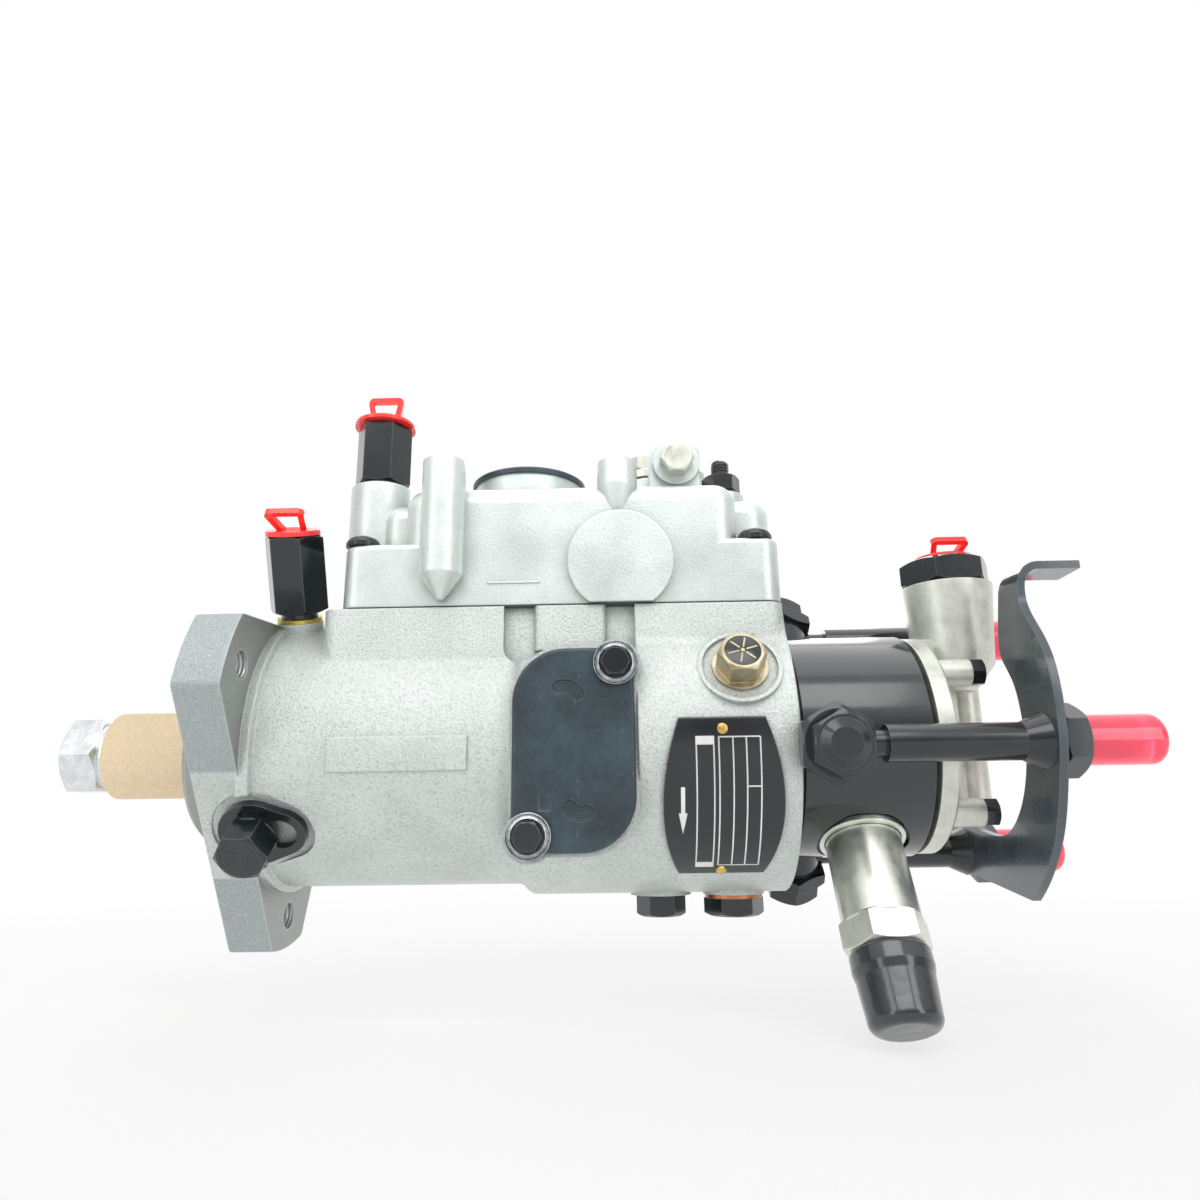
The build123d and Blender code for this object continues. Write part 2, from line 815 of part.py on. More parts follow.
# ================================================================ governor cover
hood = box_between(hood_left, hood_right, -cover_half_width, hood_back, cover_base, hood_top)
hood = fillet(hood.edges().filter_by(Axis.Z), hood_corner)
hood = fillet(hood.edges().group_by(Axis.Z)[-1], hood_round)
shoulder = box_between(
    shoulder_left, cover_right, shoulder_y[0], shoulder_y[1], cover_flange_top - 4, shoulder_top
)
shoulder = fillet(shoulder.edges().filter_by(Axis.Z).group_by(Axis.X)[-1], shoulder_corner)
shoulder = fillet(shoulder.edges().group_by(Axis.Z)[-1], cast_fillet * 3)
front_shoulder = box_between(
    front_shoulder_left, hood_left + hood_corner + 2, front_shoulder_y[0], front_shoulder_y[1],
    cover_flange_top - 4, front_shoulder_top
)
front_shoulder = fillet(
    front_shoulder.edges().filter_by(Axis.Z).group_by(Axis.X)[0], shoulder_corner
)
front_shoulder = fillet(front_shoulder.edges().group_by(Axis.Z)[-1], cast_fillet * 3)
lug = box_between(lug_left, lug_right, lug_front, lug_back, hood_top - 4, lug_top)
lug = fillet(lug.edges().filter_by(Axis.Y).group_by(Axis.Z)[-1], lug_corner)
lower_cavity = box_between(
    cavity_left, cavity_right, -cavity_half_width, cavity_half_width, cover_base - 1, cavity_step
)
upper_cavity = box_between(
    upper_left, upper_right, -cavity_half_width, cavity_half_width, cavity_step - 1, cavity_top
)

with BuildPart() as governor_cover:
    with BuildSketch(Plane.XY.offset(cover_base)):
        add(cover_plan)
    extrude(amount=cover_flange_top - cover_base)
    fillet(governor_cover.edges().group_by(Axis.Z)[-1], cast_fillet)
    add(hood)
    add(shoulder)
    add(front_shoulder)
    add(lug)
    with Locations((cap_x, cap_y, cavity_top)):
        Cylinder(cap_boss_radius, cap_boss_top - cavity_top, align=LOW)
    with Locations((leak_x, leak_y, cavity_step)):
        Cylinder(leak_boss_radius, leak_boss_top - cavity_step, align=LOW)
    with Locations((stud_x, stud_y, cavity_step + 2)):
        Cylinder(stud_boss_radius, stud_boss_top - cavity_step - 2, align=LOW)
    with Locations((throttle_x, throttle_y, hood_top - 3)):
        Cylinder(throttle_boss_radius, throttle_boss_top - hood_top + 3, align=LOW)
    with Locations((pillar_x, pillar_y, pillar_foot)):
        Cylinder(pillar_radius, pillar_top - pillar_foot, align=LOW)
        Cone(1.0, pillar_radius, pillar_foot - pillar_tip, align=HIGH)
    with Locations((rear_pillar_x, rear_pillar_y, rear_pillar_waist)):
        Cylinder(rear_pillar_radius, rear_pillar_top - rear_pillar_waist, align=LOW)
        Cone(2.4, rear_pillar_radius, rear_pillar_waist - rear_pillar_tip, align=HIGH)
    with BuildSketch(front(-cover_half_width + 1)):
        with Locations((face_x, face_z)):
            Circle(face_radius)
        with Locations((face_x, cover_base)):
            Rectangle(
                3 * face_radius, face_radius, align=(Align.CENTER, Align.MAX), mode=Mode.SUBTRACT
            )
    extrude(amount=-face_y - cover_half_width + 1)
    with Locations(
        Plane(origin=(lug_bolt_x, lug_front, lug_bolt_z), x_dir=(1, 0, 0), z_dir=(0, -1, 0))
    ):
        Cylinder(lug_spot_radius, lug_spot_height, align=LOW)
        Cylinder(cover_screw_radius + thread_gap, 24, mode=Mode.SUBTRACT)
    add(lower_cavity, mode=Mode.SUBTRACT)
    add(upper_cavity, mode=Mode.SUBTRACT)
    add(union_relief, mode=Mode.SUBTRACT)
    with Locations((cap_x, cap_y, cavity_top - 1)):
        Cylinder(cap_boss_radius - 3, cap_boss_top, align=LOW, mode=Mode.SUBTRACT)
    with Locations([(x, y, 0) for x, y in cover_screw_points]):
        Cylinder(cover_screw_radius + thread_gap, hood_top, align=LOW, mode=Mode.SUBTRACT)
    with Locations((leak_x, leak_y, leak_boss_top)):
        Cylinder(vent_neck_radius + 2 + thread_gap, 16, align=HIGH, mode=Mode.SUBTRACT)
        Cylinder(2.0, 60, align=HIGH, mode=Mode.SUBTRACT)
    with Locations((throttle_x, throttle_y, cavity_top - 1)):
        Cylinder(throttle_shaft_radius + run_gap, 40, align=LOW, mode=Mode.SUBTRACT)
    with Locations((stud_x, stud_y, stud_boss_top)):
        Cylinder(stud_radius + thread_gap, 18, align=HIGH, mode=Mode.SUBTRACT)
save(governor_cover.part, "governor_cover")

cover_screw = button_screw(
    cover_head_radius, cover_head, cover_screw_radius, cover_flange_top - joint_z + 11.0
)
with BuildPart() as cover_screws:
    with Locations([(x, y, cover_flange_top) for x, y in cover_screw_points]):
        add(cover_screw)
save(cover_screws.part, "cover_screws")

with BuildPart() as cover_cap:
    with BuildSketch(Plane.XZ):
        with BuildLine():
            Polyline(
                (0, cap_boss_top - 4),
                (cap_boss_radius - 3.1, cap_boss_top - 4),
                (cap_boss_radius - 3.1, cap_boss_top),
                (cap_radius, cap_boss_top),
                (cap_radius, cap_boss_top + cap_thickness - 0.5),
                (cap_radius - 0.5, cap_boss_top + cap_thickness),
                (cap_radius - 3, cap_boss_top + cap_thickness),
                (cap_radius - 4, cap_boss_top + cap_thickness - 1),
                (0, cap_boss_top + cap_thickness - 1),
                close=True,
            )
        make_face()
    revolve(axis=Axis.Z)
save(Pos(cap_x, cap_y, 0) * cover_cap.part, "cover_cap")

lug_screw = hex_screw(10.0, 5.4, cover_screw_radius, 11.5)
with BuildPart() as lug_bolt:
    with Locations(
        Plane(
            origin=(lug_bolt_x, lug_front - lug_spot_height, lug_bolt_z),
            x_dir=(1, 0, 0),
            z_dir=(0, -1, 0),
        )
    ):
        add(lug_screw)
save(lug_bolt.part, "lug_bolt")

stud_nut = hex_nut(stud_nut_flats, stud_nut_height, stud_radius + seat_gap)
with BuildPart() as idle_stud:
    with Locations((stud_x, stud_y, stud_boss_top)):
        Cylinder(stud_radius, 16, align=HIGH)
        Cylinder(stud_foot_radius, stud_foot, align=LOW)
        Cylinder(stud_radius, stud_top - stud_boss_top, align=LOW)
    chamfer(idle_stud.edges().group_by(Axis.Z)[-1], 0.6)
    with Locations((stud_x, stud_y, stud_boss_top + stud_foot + seat_gap)):
        add(stud_nut)
save(idle_stud.part, "idle_stud")

# ================================================================ fittings and plugs
vent_plane = outward(vent_x, vent_angle, vent_seat + vent_washer)
vent_union = union_fitting(vent_flats, vent_hex, 6.0, vent_neck, vent_neck_radius, 10.0, fitting_bore)
leak_union = union_fitting(
    leak_flats, leak_hex, leak_neck_radius - 0.4, leak_neck, vent_neck_radius + 2, leak_shank, fitting_bore
)
with BuildPart() as vent_fitting:
    with Locations(vent_plane):
        add(vent_union)
save(vent_fitting.part, "vent_fitting")

with BuildPart() as leak_off_fitting:
    with Locations((leak_x, leak_y, leak_boss_top)):
        add(leak_union)
save(leak_off_fitting.part, "leak_off_fitting")

with BuildPart() as sealing_washers:
    with Locations(outward(vent_x, vent_angle, vent_seat)):
        Cylinder(vent_boss - 0.1, vent_washer, align=LOW)
        Cylinder(vent_neck_radius + thread_gap, vent_washer, align=LOW, mode=Mode.SUBTRACT)
    with Locations(outward(locating_x, 270, bottom_seat)):
        Cylinder(9.4, bottom_washer, align=LOW)
        Cylinder(bottom_screw_radius + thread_gap, bottom_washer, align=LOW, mode=Mode.SUBTRACT)
save(sealing_washers.part, "sealing_washers")

inlet_plug = transit_plug(10.5, inlet_bore - seat_gap, inlet_loop_lean)
vent_plug = transit_plug(9.0, fitting_bore - seat_gap, vent_loop_lean)
leak_plug = transit_plug(10.8, fitting_bore - seat_gap)
with BuildPart() as transit_plugs:
    with Locations((inlet_x, inlet_y, inlet_top + inlet_hex)):
        add(inlet_plug)
    with Locations(outward(vent_x, vent_angle, vent_seat + vent_washer + vent_neck + vent_hex)):
        add(vent_plug)
    with Locations((leak_x, leak_y, leak_boss_top + leak_neck + leak_hex)):
        add(leak_plug)
save(transit_plugs.part, "transit_plugs")

# ================================================================ screws on the housing
head_screw = hex_screw(
    head_screw_flats, 7.5, head_screw_radius, head_screw_seat - head_screw_tip, 8.6, 1.2
)
with BuildPart() as head_locking_screws:
    with Locations([outward(head_screw_x, angle, head_screw_seat) for angle in head_screw_angles]):
        add(head_screw)
save(head_locking_screws.part, "head_locking_screws")

locating_screw = hex_screw(
    locating_flats, 5.6, bottom_screw_radius, bottom_seat + bottom_washer - locating_tip
)
with BuildPart() as locating_fitting:
    with Locations(outward(locating_x, 270, bottom_seat + bottom_washer)):
        add(locating_screw)
save(locating_fitting.part, "locating_fitting")

cam_screw = hex_screw(cam_plug_flats, 6.7, bottom_screw_radius, bottom_seat - cam_plug_tip)
with BuildPart() as cam_screw_plug:
    with Locations(outward(cam_plug_x, 270, bottom_seat)):
        add(cam_screw)
save(cam_screw_plug.part, "cam_screw_plug")

spacer_top = lock_floor + spacer_thickness
lock_screw = hex_screw(
    lock_flats, lock_head, lock_screw_radius, spacer_top - journal_radius - 0.1, 7.4, lock_collar
)
with BuildPart() as shaft_lock_screw:
    with Locations(outward(lock_x, lock_angle, spacer_top)):
        add(lock_screw)
save(shaft_lock_screw.part, "shaft_lock_screw")

with BuildPart() as lock_spacer:
    with BuildSketch(outward(lock_x, lock_angle, lock_floor)):
        Circle(spacer_radius)
        with Locations((lock_loop_offset, 0)):
            Circle(lock_loop_radius - 1.8)
        make_hull()
        Circle(lock_screw_radius + thread_gap, mode=Mode.SUBTRACT)
        with Locations((lock_loop_offset, 0)):
            Circle(lock_loop_hole, mode=Mode.SUBTRACT)
        with Locations((lock_loop_offset / 2, 0)):
            Rectangle(lock_loop_offset, lock_screw_radius * 1.5, mode=Mode.SUBTRACT)
    extrude(amount=spacer_thickness)
save(lock_spacer.part, "lock_spacer")

with BuildPart() as nameplate:
    with BuildSketch(outward(plate_x, plate_angle, rear_radius - 12)) as plate_outline:
        with BuildLine():
            Line((-plate_end_half_width, -plate_half_height), (plate_end_half_width, -plate_half_height))
            ThreePointArc(
                (plate_end_half_width, -plate_half_height),
                (plate_mid_half_width, 0),
                (plate_end_half_width, plate_half_height),
            )
            Line((plate_end_half_width, plate_half_height), (-plate_end_half_width, plate_half_height))
            ThreePointArc(
                (-plate_end_half_width, plate_half_height),
                (-plate_mid_half_width, 0),
                (-plate_end_half_width, -plate_half_height),
            )
        make_face()
    extrude(amount=24)
    with BuildSketch(Plane.XZ):
        with Locations((plate_x, rear_radius + seat_gap + nameplate_thickness / 2)):
            Rectangle(3 * plate_mid_half_width, nameplate_thickness)
    revolve(axis=Axis.X, mode=Mode.INTERSECT)
save(nameplate.part, "nameplate")

# ================================================================ hydraulic head
metering_bore = Pos(metering_x, 0, metering_bottom - 0.3) * Cylinder(
    metering_radius + run_gap, head_radius, align=LOW
)
with BuildPart() as hydraulic_head:
    with BuildSketch(Plane.XZ):
        with BuildLine():
            Polyline(
                (head_start, rotor_radius + run_gap),
                (head_start, head_radius - 0.8),
                (head_start + 0.8, head_radius),
                (seal_x - 1.8, head_radius),
                (seal_x - 1.8, head_radius - 2 * seal_wire - seat_gap),
                (seal_x + 1.8, head_radius - 2 * seal_wire - seat_gap),
                (seal_x + 1.8, head_radius),
                (head_groove_x - 0.7, head_radius),
                (head_groove_x, head_radius - 0.9),
                (head_groove_x + 0.7, head_radius),
                (head_end - 1.0, head_radius),
                (head_end, head_radius - 1.0),
                (head_end, transfer_radius),
                (head_end - transfer_depth, transfer_radius),
                (head_end - transfer_depth, rotor_radius + run_gap),
                close=True,
            )
        make_face()
    revolve(axis=Axis.X)
    add(metering_bore, mode=Mode.SUBTRACT)
    for angle in outlet_angles:
        with Locations(outward(outlet_x, angle, outlet_seat)):
            Cylinder(outlet_spot_radius - 1.8, 5, align=LOW, mode=Mode.SUBTRACT)
            Cylinder(
                outlet_bolt_radius + thread_gap,
                outlet_seat - outlet_bolt_tip + 0.5,
                align=HIGH,
                mode=Mode.SUBTRACT,
            )
    with Locations(outward(solenoid_x, solenoid_angle, solenoid_seat)):
        Cylinder(solenoid_spot_radius, 5, align=LOW, mode=Mode.SUBTRACT)
        Cylinder(
            solenoid_thread_radius + thread_gap,
            solenoid_seat - solenoid_tip + 1.5,
            align=HIGH,
            mode=Mode.SUBTRACT,
        )
    with Locations([outward(head_screw_x, angle, head_screw_tip - 0.5) for angle in head_screw_angles]):
        Cylinder(head_screw_radius + thread_gap, 10, align=LOW, mode=Mode.SUBTRACT)
    with Locations(outward(locating_x, 270, locating_tip - 0.5)):
        Cylinder(bottom_screw_radius + thread_gap, 10, align=LOW, mode=Mode.SUBTRACT)
    with Locations(
        [lengthways(plate_screw_circle, angle, plate_screw_tip - 0.5) for angle in plate_screw_angles]
    ):
        Cylinder(plate_screw_radius + thread_gap, 20, align=LOW, mode=Mode.SUBTRACT)
save(hydraulic_head.part, "hydraulic_head")

# ================================================================ outlets
nut_blank = hex_blank(banjo_flats, banjo_hex_end - banjo_hex_start, bevel_bottom=True)
bolt_blank = hex_blank(outlet_bolt_flats, outlet_bolt_head)
with BuildPart() as outlet_pipes:
    for angle in outlet_angles:
        with Locations(outward(outlet_x, angle, outlet_seat)):
            Cylinder(banjo_radius, banjo_hex_start - outlet_seat, align=LOW)
        with Locations(outward(outlet_x, angle, banjo_hex_start) * Rot(0, 0, 30)):
            add(nut_blank)
        with Locations(lengthways(outlet_radius, angle, neck_start)):
            Cylinder(neck_radius, neck_end - neck_start + 1, align=LOW)
        with Locations(lengthways(outlet_radius, angle, neck_end)):
            Cylinder(pipe_radius, pipe_end - neck_end, align=LOW)
        with Locations(lengthways(outlet_radius, angle, cone_start)):
            Cone(pipe_radius, cone_radius, bracket_x - cone_start, align=LOW)
        with Locations(lengthways(outlet_radius, angle, outlet_x)):
            Cylinder(pipe_bore, pipe_end, align=LOW, mode=Mode.SUBTRACT)
        with Locations(outward(outlet_x, angle)):
            Cylinder(
                outlet_bolt_radius + thread_gap, outlet_radius + 20, align=LOW, mode=Mode.SUBTRACT
            )
save(outlet_pipes.part, "outlet_pipes")

with BuildPart() as outlet_bolt:
    add(bolt_blank)
    with Locations((0, 0, outlet_bolt_head)):
        Cone(
            outlet_bolt_flats * 0.42, outlet_bolt_crown_radius, outlet_bolt_crown, align=LOW
        )
    Cylinder(outlet_bolt_radius, banjo_hex_end - outlet_bolt_tip, align=HIGH)
with BuildPart() as outlet_bolts:
    with Locations([outward(outlet_x, angle, banjo_hex_end) * Rot(0, 0, 30) for angle in outlet_angles]):
        add(outlet_bolt.part)
save(outlet_bolts.part, "outlet_bolts")

outlet_nut = hex_nut(outlet_nut_flats, outlet_nut_height, pipe_radius + seat_gap)
with BuildPart() as outlet_nuts:
    with Locations([lengthways(outlet_radius, angle, nut_seat_x) * Rot(0, 0, 30) for angle in outlet_angles]):
        add(outlet_nut)
save(outlet_nuts.part, "outlet_nuts")

cap_start = nut_seat_x + outlet_nut_height
with BuildPart() as outlet_cap:
    Cylinder(outlet_cap_radius, outlet_cap_end - cap_start, align=LOW)
    fillet(outlet_cap.edges().group_by(Axis.Z)[-1], 3.0)
    Cylinder(pipe_radius + seat_gap, pipe_end - cap_start + 1, align=LOW, mode=Mode.SUBTRACT)
with BuildPart() as outlet_caps:
    with Locations([lengthways(outlet_radius, angle, cap_start) for angle in outlet_angles]):
        add(outlet_cap.part)
save(outlet_caps.part, "outlet_caps")

front_top = bracket_front_edge[0]
arm_top_edge = bracket_arm_edge[-1]
with BuildPart() as outlet_bracket:
    with BuildSketch(across(bracket_x)):
        with BuildLine():
            Spline(*bracket_front_edge)
            Line(bracket_front_edge[-1], bracket_foot)
            ThreePointArc(bracket_foot, (bracket_outer, 0), polar(bracket_outer, bracket_rear_corner))
            Line(polar(bracket_outer, bracket_rear_corner), bracket_rear_gap)
            ThreePointArc(bracket_rear_gap, (bracket_inner, 0), bracket_arm_edge[0])
            Spline(*bracket_arm_edge)
            Line(arm_top_edge, (arm_top_edge[0], bracket_arm_top))
            Line((arm_top_edge[0], bracket_arm_top), (front_top[0], bracket_arm_top))
            Line((front_top[0], bracket_arm_top), front_top)
        make_face()
        with Locations([polar(outlet_radius, angle) for angle in outlet_angles]):
            Circle(pipe_radius + thread_gap, mode=Mode.SUBTRACT)
    extrude(amount=bracket_thickness)
    with BuildSketch(across(bracket_x)):
        with Locations(((front_top[0] + arm_top_edge[0]) / 2, bracket_arm_top - bracket_thickness / 2)):
            Rectangle(arm_top_edge[0] - front_top[0], bracket_thickness)
    extrude(amount=bracket_tab)
    bend_edges = outlet_bracket.edges().filter_by(Axis.Y)
    fillet(bend_edges.sort_by_distance((bracket_x, front_top[0], bracket_arm_top))[0], bracket_bend)
    bend_edges = outlet_bracket.edges().filter_by(Axis.Y)
    inner_bend = (bracket_x + bracket_thickness, front_top[0], bracket_arm_top - bracket_thickness)
    fillet(bend_edges.sort_by_distance(inner_bend)[0], bracket_bend - bracket_thickness)
save(outlet_bracket.part, "outlet_bracket")

# ================================================================ end plate, inlet and regulating valve
plate_screw = hex_screw(
    plate_screw_flats, plate_screw_head, plate_screw_radius, plate_boss_end - plate_screw_tip
)
boss_web = box_between(plate_end - 4, inlet_x, inlet_y - 9, inlet_y + 9, valve_high + 4, 34)
rib_plate = box_between(plate_end - 1, rib_x, -rib_web / 2, rib_web / 2, rib_bottom + 2, valve_high + 6)
with BuildPart() as end_plate:
    with BuildSketch(Plane.XZ):
        with BuildLine():
            Polyline(
                (head_end, 0),
                (head_end, plate_radius - 7.5),
                (head_end + 1.2, plate_radius - 7.5),
                (head_end + 1.2, plate_radius),
                (plate_end - plate_chamfer, plate_radius),
                (plate_end, plate_radius - plate_chamfer),
                (plate_end, 0),
                close=True,
            )
        make_face()
    revolve(axis=Axis.X)
    with Locations([lengthways(plate_screw_circle, angle, plate_end - 1) for angle in plate_screw_angles]):
        Cylinder(plate_boss_radius, plate_boss_end - plate_end + 1, align=LOW)
    with Locations((inlet_x, inlet_y, inlet_bottom)):
        Cone(inlet_bottom_radius, inlet_top_radius, inlet_top - inlet_bottom, align=LOW)
        Cone(6.0, inlet_bottom_radius, 9.0, align=HIGH)
    with Locations((rib_x, 0, rib_bottom)):
        Cylinder(rib_radius, inlet_bottom - rib_bottom, align=LOW)
    add(boss_web)
    add(rib_plate)
    with Locations((inlet_x, inlet_y, inlet_top)):
        Cylinder(
            inlet_spigot_radius + seat_gap, inlet_spigot + 0.2, align=HIGH, mode=Mode.SUBTRACT
        )
        Cylinder(4.0, inlet_top - valve_high - 5, align=HIGH, mode=Mode.SUBTRACT)
    with Locations((rib_x, 0, valve_low)):
        Cylinder(valve_bore_radius, valve_high - valve_low, align=LOW, mode=Mode.SUBTRACT)
    with Locations([lengthways(plate_screw_circle, angle, head_end) for angle in plate_screw_angles]):
        Cylinder(plate_screw_radius + thread_gap, 20, align=LOW, mode=Mode.SUBTRACT)
save(end_plate.part, "end_plate")

with BuildPart() as end_plate_screws:
    with Locations([lengthways(plate_screw_circle, angle, plate_boss_end) for angle in plate_screw_angles]):
        add(plate_screw)
save(end_plate_screws.part, "end_plate_screws")

inlet_blank = hex_blank(inlet_flats, inlet_hex, bevel_bottom=True)
with BuildPart() as inlet_adaptor:
    with Locations((inlet_x, inlet_y, inlet_top)):
        add(inlet_blank)
        Cylinder(inlet_spigot_radius, inlet_spigot, align=HIGH)
    with Locations((inlet_x, inlet_y, inlet_top + inlet_hex)):
        Cylinder(inlet_bore, inlet_counterbore, align=HIGH, mode=Mode.SUBTRACT)
        Cylinder(4.0, inlet_hex + inlet_spigot, align=HIGH, mode=Mode.SUBTRACT)
save(inlet_adaptor.part, "inlet_adaptor")

with BuildPart() as regulating_piston:
    with Locations((rib_x, 0, valve_low)):
        Cylinder(valve_bore_radius - run_gap, piston_length, align=LOW)
    chamfer(regulating_piston.edges().group_by(Axis.Z)[-1], 0.5)
save(regulating_piston.part, "regulating_piston")

# ================================================================ stop solenoid
solenoid_blank = hex_blank(
    solenoid_flats, solenoid_hex_end - solenoid_hex_start, bevel_bottom=True
)
with BuildPart() as stop_solenoid:
    with Locations(outward(solenoid_x, solenoid_angle, solenoid_seat)):
        Cylinder(solenoid_radius, solenoid_hex_start - solenoid_seat + 1, align=LOW)
        Cylinder(solenoid_thread_radius, solenoid_seat - solenoid_tip, align=HIGH)
    with Locations(outward(solenoid_x, solenoid_angle, solenoid_hex_start)):
        add(solenoid_blank)
    with Locations(outward(solenoid_x, solenoid_angle, solenoid_hex_end)):
        Cylinder(solenoid_stub_radius, solenoid_stub_end - solenoid_hex_end, align=LOW)
    with Locations(outward(solenoid_x, solenoid_angle, solenoid_tip - 1)):
        Cylinder(
            armature_radius + run_gap,
            armature_high + armature_travel - solenoid_tip + 1.3,
            align=LOW,
            mode=Mode.SUBTRACT,
        )
save(stop_solenoid.part, "stop_solenoid")

with BuildPart() as solenoid_boot:
    with BuildSketch(Plane.XZ):
        with BuildLine():
            Polyline(
                (boot_bore, 0),
                (boot_radius - 0.6, 0),
                (boot_radius, 0.8),
                (boot_radius, 5.0),
                (boot_radius - 0.6, 7.5),
                (boot_tip_radius, boot_end - solenoid_hex_end),
                (0, boot_end - solenoid_hex_end),
                (0, solenoid_stub_end - solenoid_hex_end + 0.1),
                (boot_bore, solenoid_stub_end - solenoid_hex_end + 0.1),
                close=True,
            )
        make_face()
    revolve(axis=Axis.Z)
    fillet(solenoid_boot.edges().group_by(Axis.Z)[-1], boot_round)
save(
    (outward(solenoid_x, solenoid_angle, solenoid_hex_end) * solenoid_boot.part), "solenoid_boot"
)

with BuildPart() as solenoid_plunger:
    with Locations(outward(solenoid_x, solenoid_angle, armature_low)):
        Cylinder(armature_radius, armature_high - armature_low, align=LOW)
save(solenoid_plunger.part, "solenoid_plunger")

# ================================================================ throttle
with BuildPart() as throttle_shaft:
    with Locations((throttle_x, throttle_y, cavity_top - 8)):
        Cylinder(throttle_shaft_radius, lever_base - cavity_top + 8, align=LOW)
    with Locations((throttle_x, throttle_y, lever_base)):
        Cylinder(
            throttle_pin_radius, lever_thickness + throttle_nut_height + 0.8, align=LOW
        )
    with Locations((throttle_x - 2.5, throttle_y, cavity_top - 14)):
        Cylinder(1.5, 7, align=LOW)
save(throttle_shaft.part, "throttle_shaft")

with BuildPart() as throttle_lever:
    with BuildSketch(Plane.XY.offset(lever_base)):
        with Locations((throttle_x, throttle_y)):
            Circle(lever_hub_radius)
        with Locations((throttle_x + lever_reach, throttle_y)):
            Circle(lever_end_radius)
        make_hull()
        with Locations((throttle_x, throttle_y)):
            Circle(throttle_pin_radius + seat_gap, mode=Mode.SUBTRACT)
        with Locations((throttle_x + lever_reach, throttle_y)):
            Circle(lever_hole_radius, mode=Mode.SUBTRACT)
    extrude(amount=lever_thickness)
    chamfer(throttle_lever.edges().group_by(Axis.Z)[-1], 0.4)
save(throttle_lever.part, "throttle_lever")

throttle_nut_blank = hex_nut(throttle_nut_flats, throttle_nut_height, throttle_pin_radius + seat_gap)
with BuildPart() as throttle_nut:
    with Locations((throttle_x, throttle_y, lever_z)):
        add(throttle_nut_blank)
save(throttle_nut.part, "throttle_nut")

# ================================================================ drive shaft
with BuildPart() as drive_shaft:
    with BuildSketch(Plane.XZ):
        with BuildLine():
            Polyline(
                (thread_end, 0),
                (thread_end, thread_radius - 1),
                (thread_end + 1, thread_radius),
                (taper_start, thread_radius),
                (taper_start, taper_small),
                (taper_end, taper_large),
                (taper_end, journal_radius),
                (shaft_shoulder, journal_radius),
                (shaft_shoulder, shaft_spigot_radius),
                (drive_plate_start - 0.1, shaft_spigot_radius),
                (drive_plate_start - 0.1, 0),
                close=True,
            )
        make_face()
    revolve(axis=Axis.X)
    with Locations(((key_start + key_end) / 2, 0, key_bottom)):
        Box(key_end - key_start + 0.1, key_width + 0.04, 10, align=LOW, mode=Mode.SUBTRACT)
save(drive_shaft.part, "drive_shaft")

with BuildPart() as shaft_key:
    with Locations(((key_start + key_end) / 2, 0, key_bottom)):
        Box(key_end - key_start, key_width, key_top - key_bottom, align=LOW)
    chamfer(shaft_key.edges().group_by(Axis.Z)[-1], 0.4)
save(shaft_key.part, "shaft_key")

shaft_nut_blank = hex_nut(nut_flats, nut_end - nut_start, thread_radius + seat_gap)
with BuildPart() as shaft_nut:
    with Locations(across(nut_start)):
        add(shaft_nut_blank)
    with BuildSketch(Plane.XZ):
        with BuildLine():
            Polyline(
                (nut_end, thread_radius + seat_gap),
                (nut_end, nut_collar_radius - 1.2),
                (nut_end + 1.2, nut_collar_radius),
                (sleeve_start - 0.1, nut_collar_radius),
                (sleeve_start - 0.1, thread_radius + seat_gap),
                close=True,
            )
        make_face()
    revolve(axis=Axis.X)
save(shaft_nut.part, "shaft_nut")

with BuildPart() as shaft_sleeve:
    with Locations(across(sleeve_start)):
        Cylinder(sleeve_radius, -pilot_length - 0.1 - sleeve_start, align=LOW)
        Cylinder(sleeve_bore, -pilot_length - 0.1 - sleeve_start, align=LOW, mode=Mode.SUBTRACT)
save(shaft_sleeve.part, "shaft_sleeve")

with BuildPart() as oil_seals:
    for start in (-9.5, -2.0):
        with BuildSketch(Plane.XZ):
            with BuildLine():
                Polyline(
                    (start, seal_bore_radius - seat_gap),
                    (start, journal_radius + 2.5),
                    (start + 2.6, journal_radius + run_gap),
                    (start + 3.6, journal_radius + run_gap),
                    (start + 6.8, journal_radius + 3),
                    (start + 6.8, seal_bore_radius - seat_gap),
                    close=True,
                )
            make_face()
        revolve(axis=Axis.X)
    with BuildSketch(Plane.XZ):
        with Locations((seal_x, head_radius - seal_wire)):
            Circle(seal_wire)
    revolve(axis=Axis.X)
save(oil_seals.part, "oil_seals")

# ================================================================ governor
weight_angles = [45 + 360 / weight_count * index for index in range(weight_count)]
ear_block = box_between(weight_start + 21, retainer_start + 0.5, ear_inner, ear_outer, 19.5, 27.0)
with BuildPart() as weight_retainer:
    with Locations(across(retainer_start)):
        Cylinder(retainer_radius, retainer_end - retainer_start, align=LOW)
    with Locations(across(shaft_shoulder + 0.1)):
        Cylinder(hub_radius, hub_end - shaft_shoulder - 0.1, align=LOW)
    for angle in weight_angles:
        with Locations(Rot(angle - 90, 0, 0), Rot(angle - 90, 0, 0) * Pos(0, -ear_inner - ear_outer, 0)):
            add(ear_block)
        with Locations(Rot(angle - 90, 0, 0) * Pos(weight_pivot_x, 0, weight_pivot_radius) * Rot(90, 0, 0)):
            Cylinder(trunnion_radius + run_gap, 2 * ear_outer + 2, mode=Mode.SUBTRACT)
    with Locations(across(shaft_shoulder)):
        Cylinder(
            shaft_spigot_radius + seat_gap, hub_end - shaft_shoulder, align=LOW, mode=Mode.SUBTRACT
        )
save(weight_retainer.part, "weight_retainer")

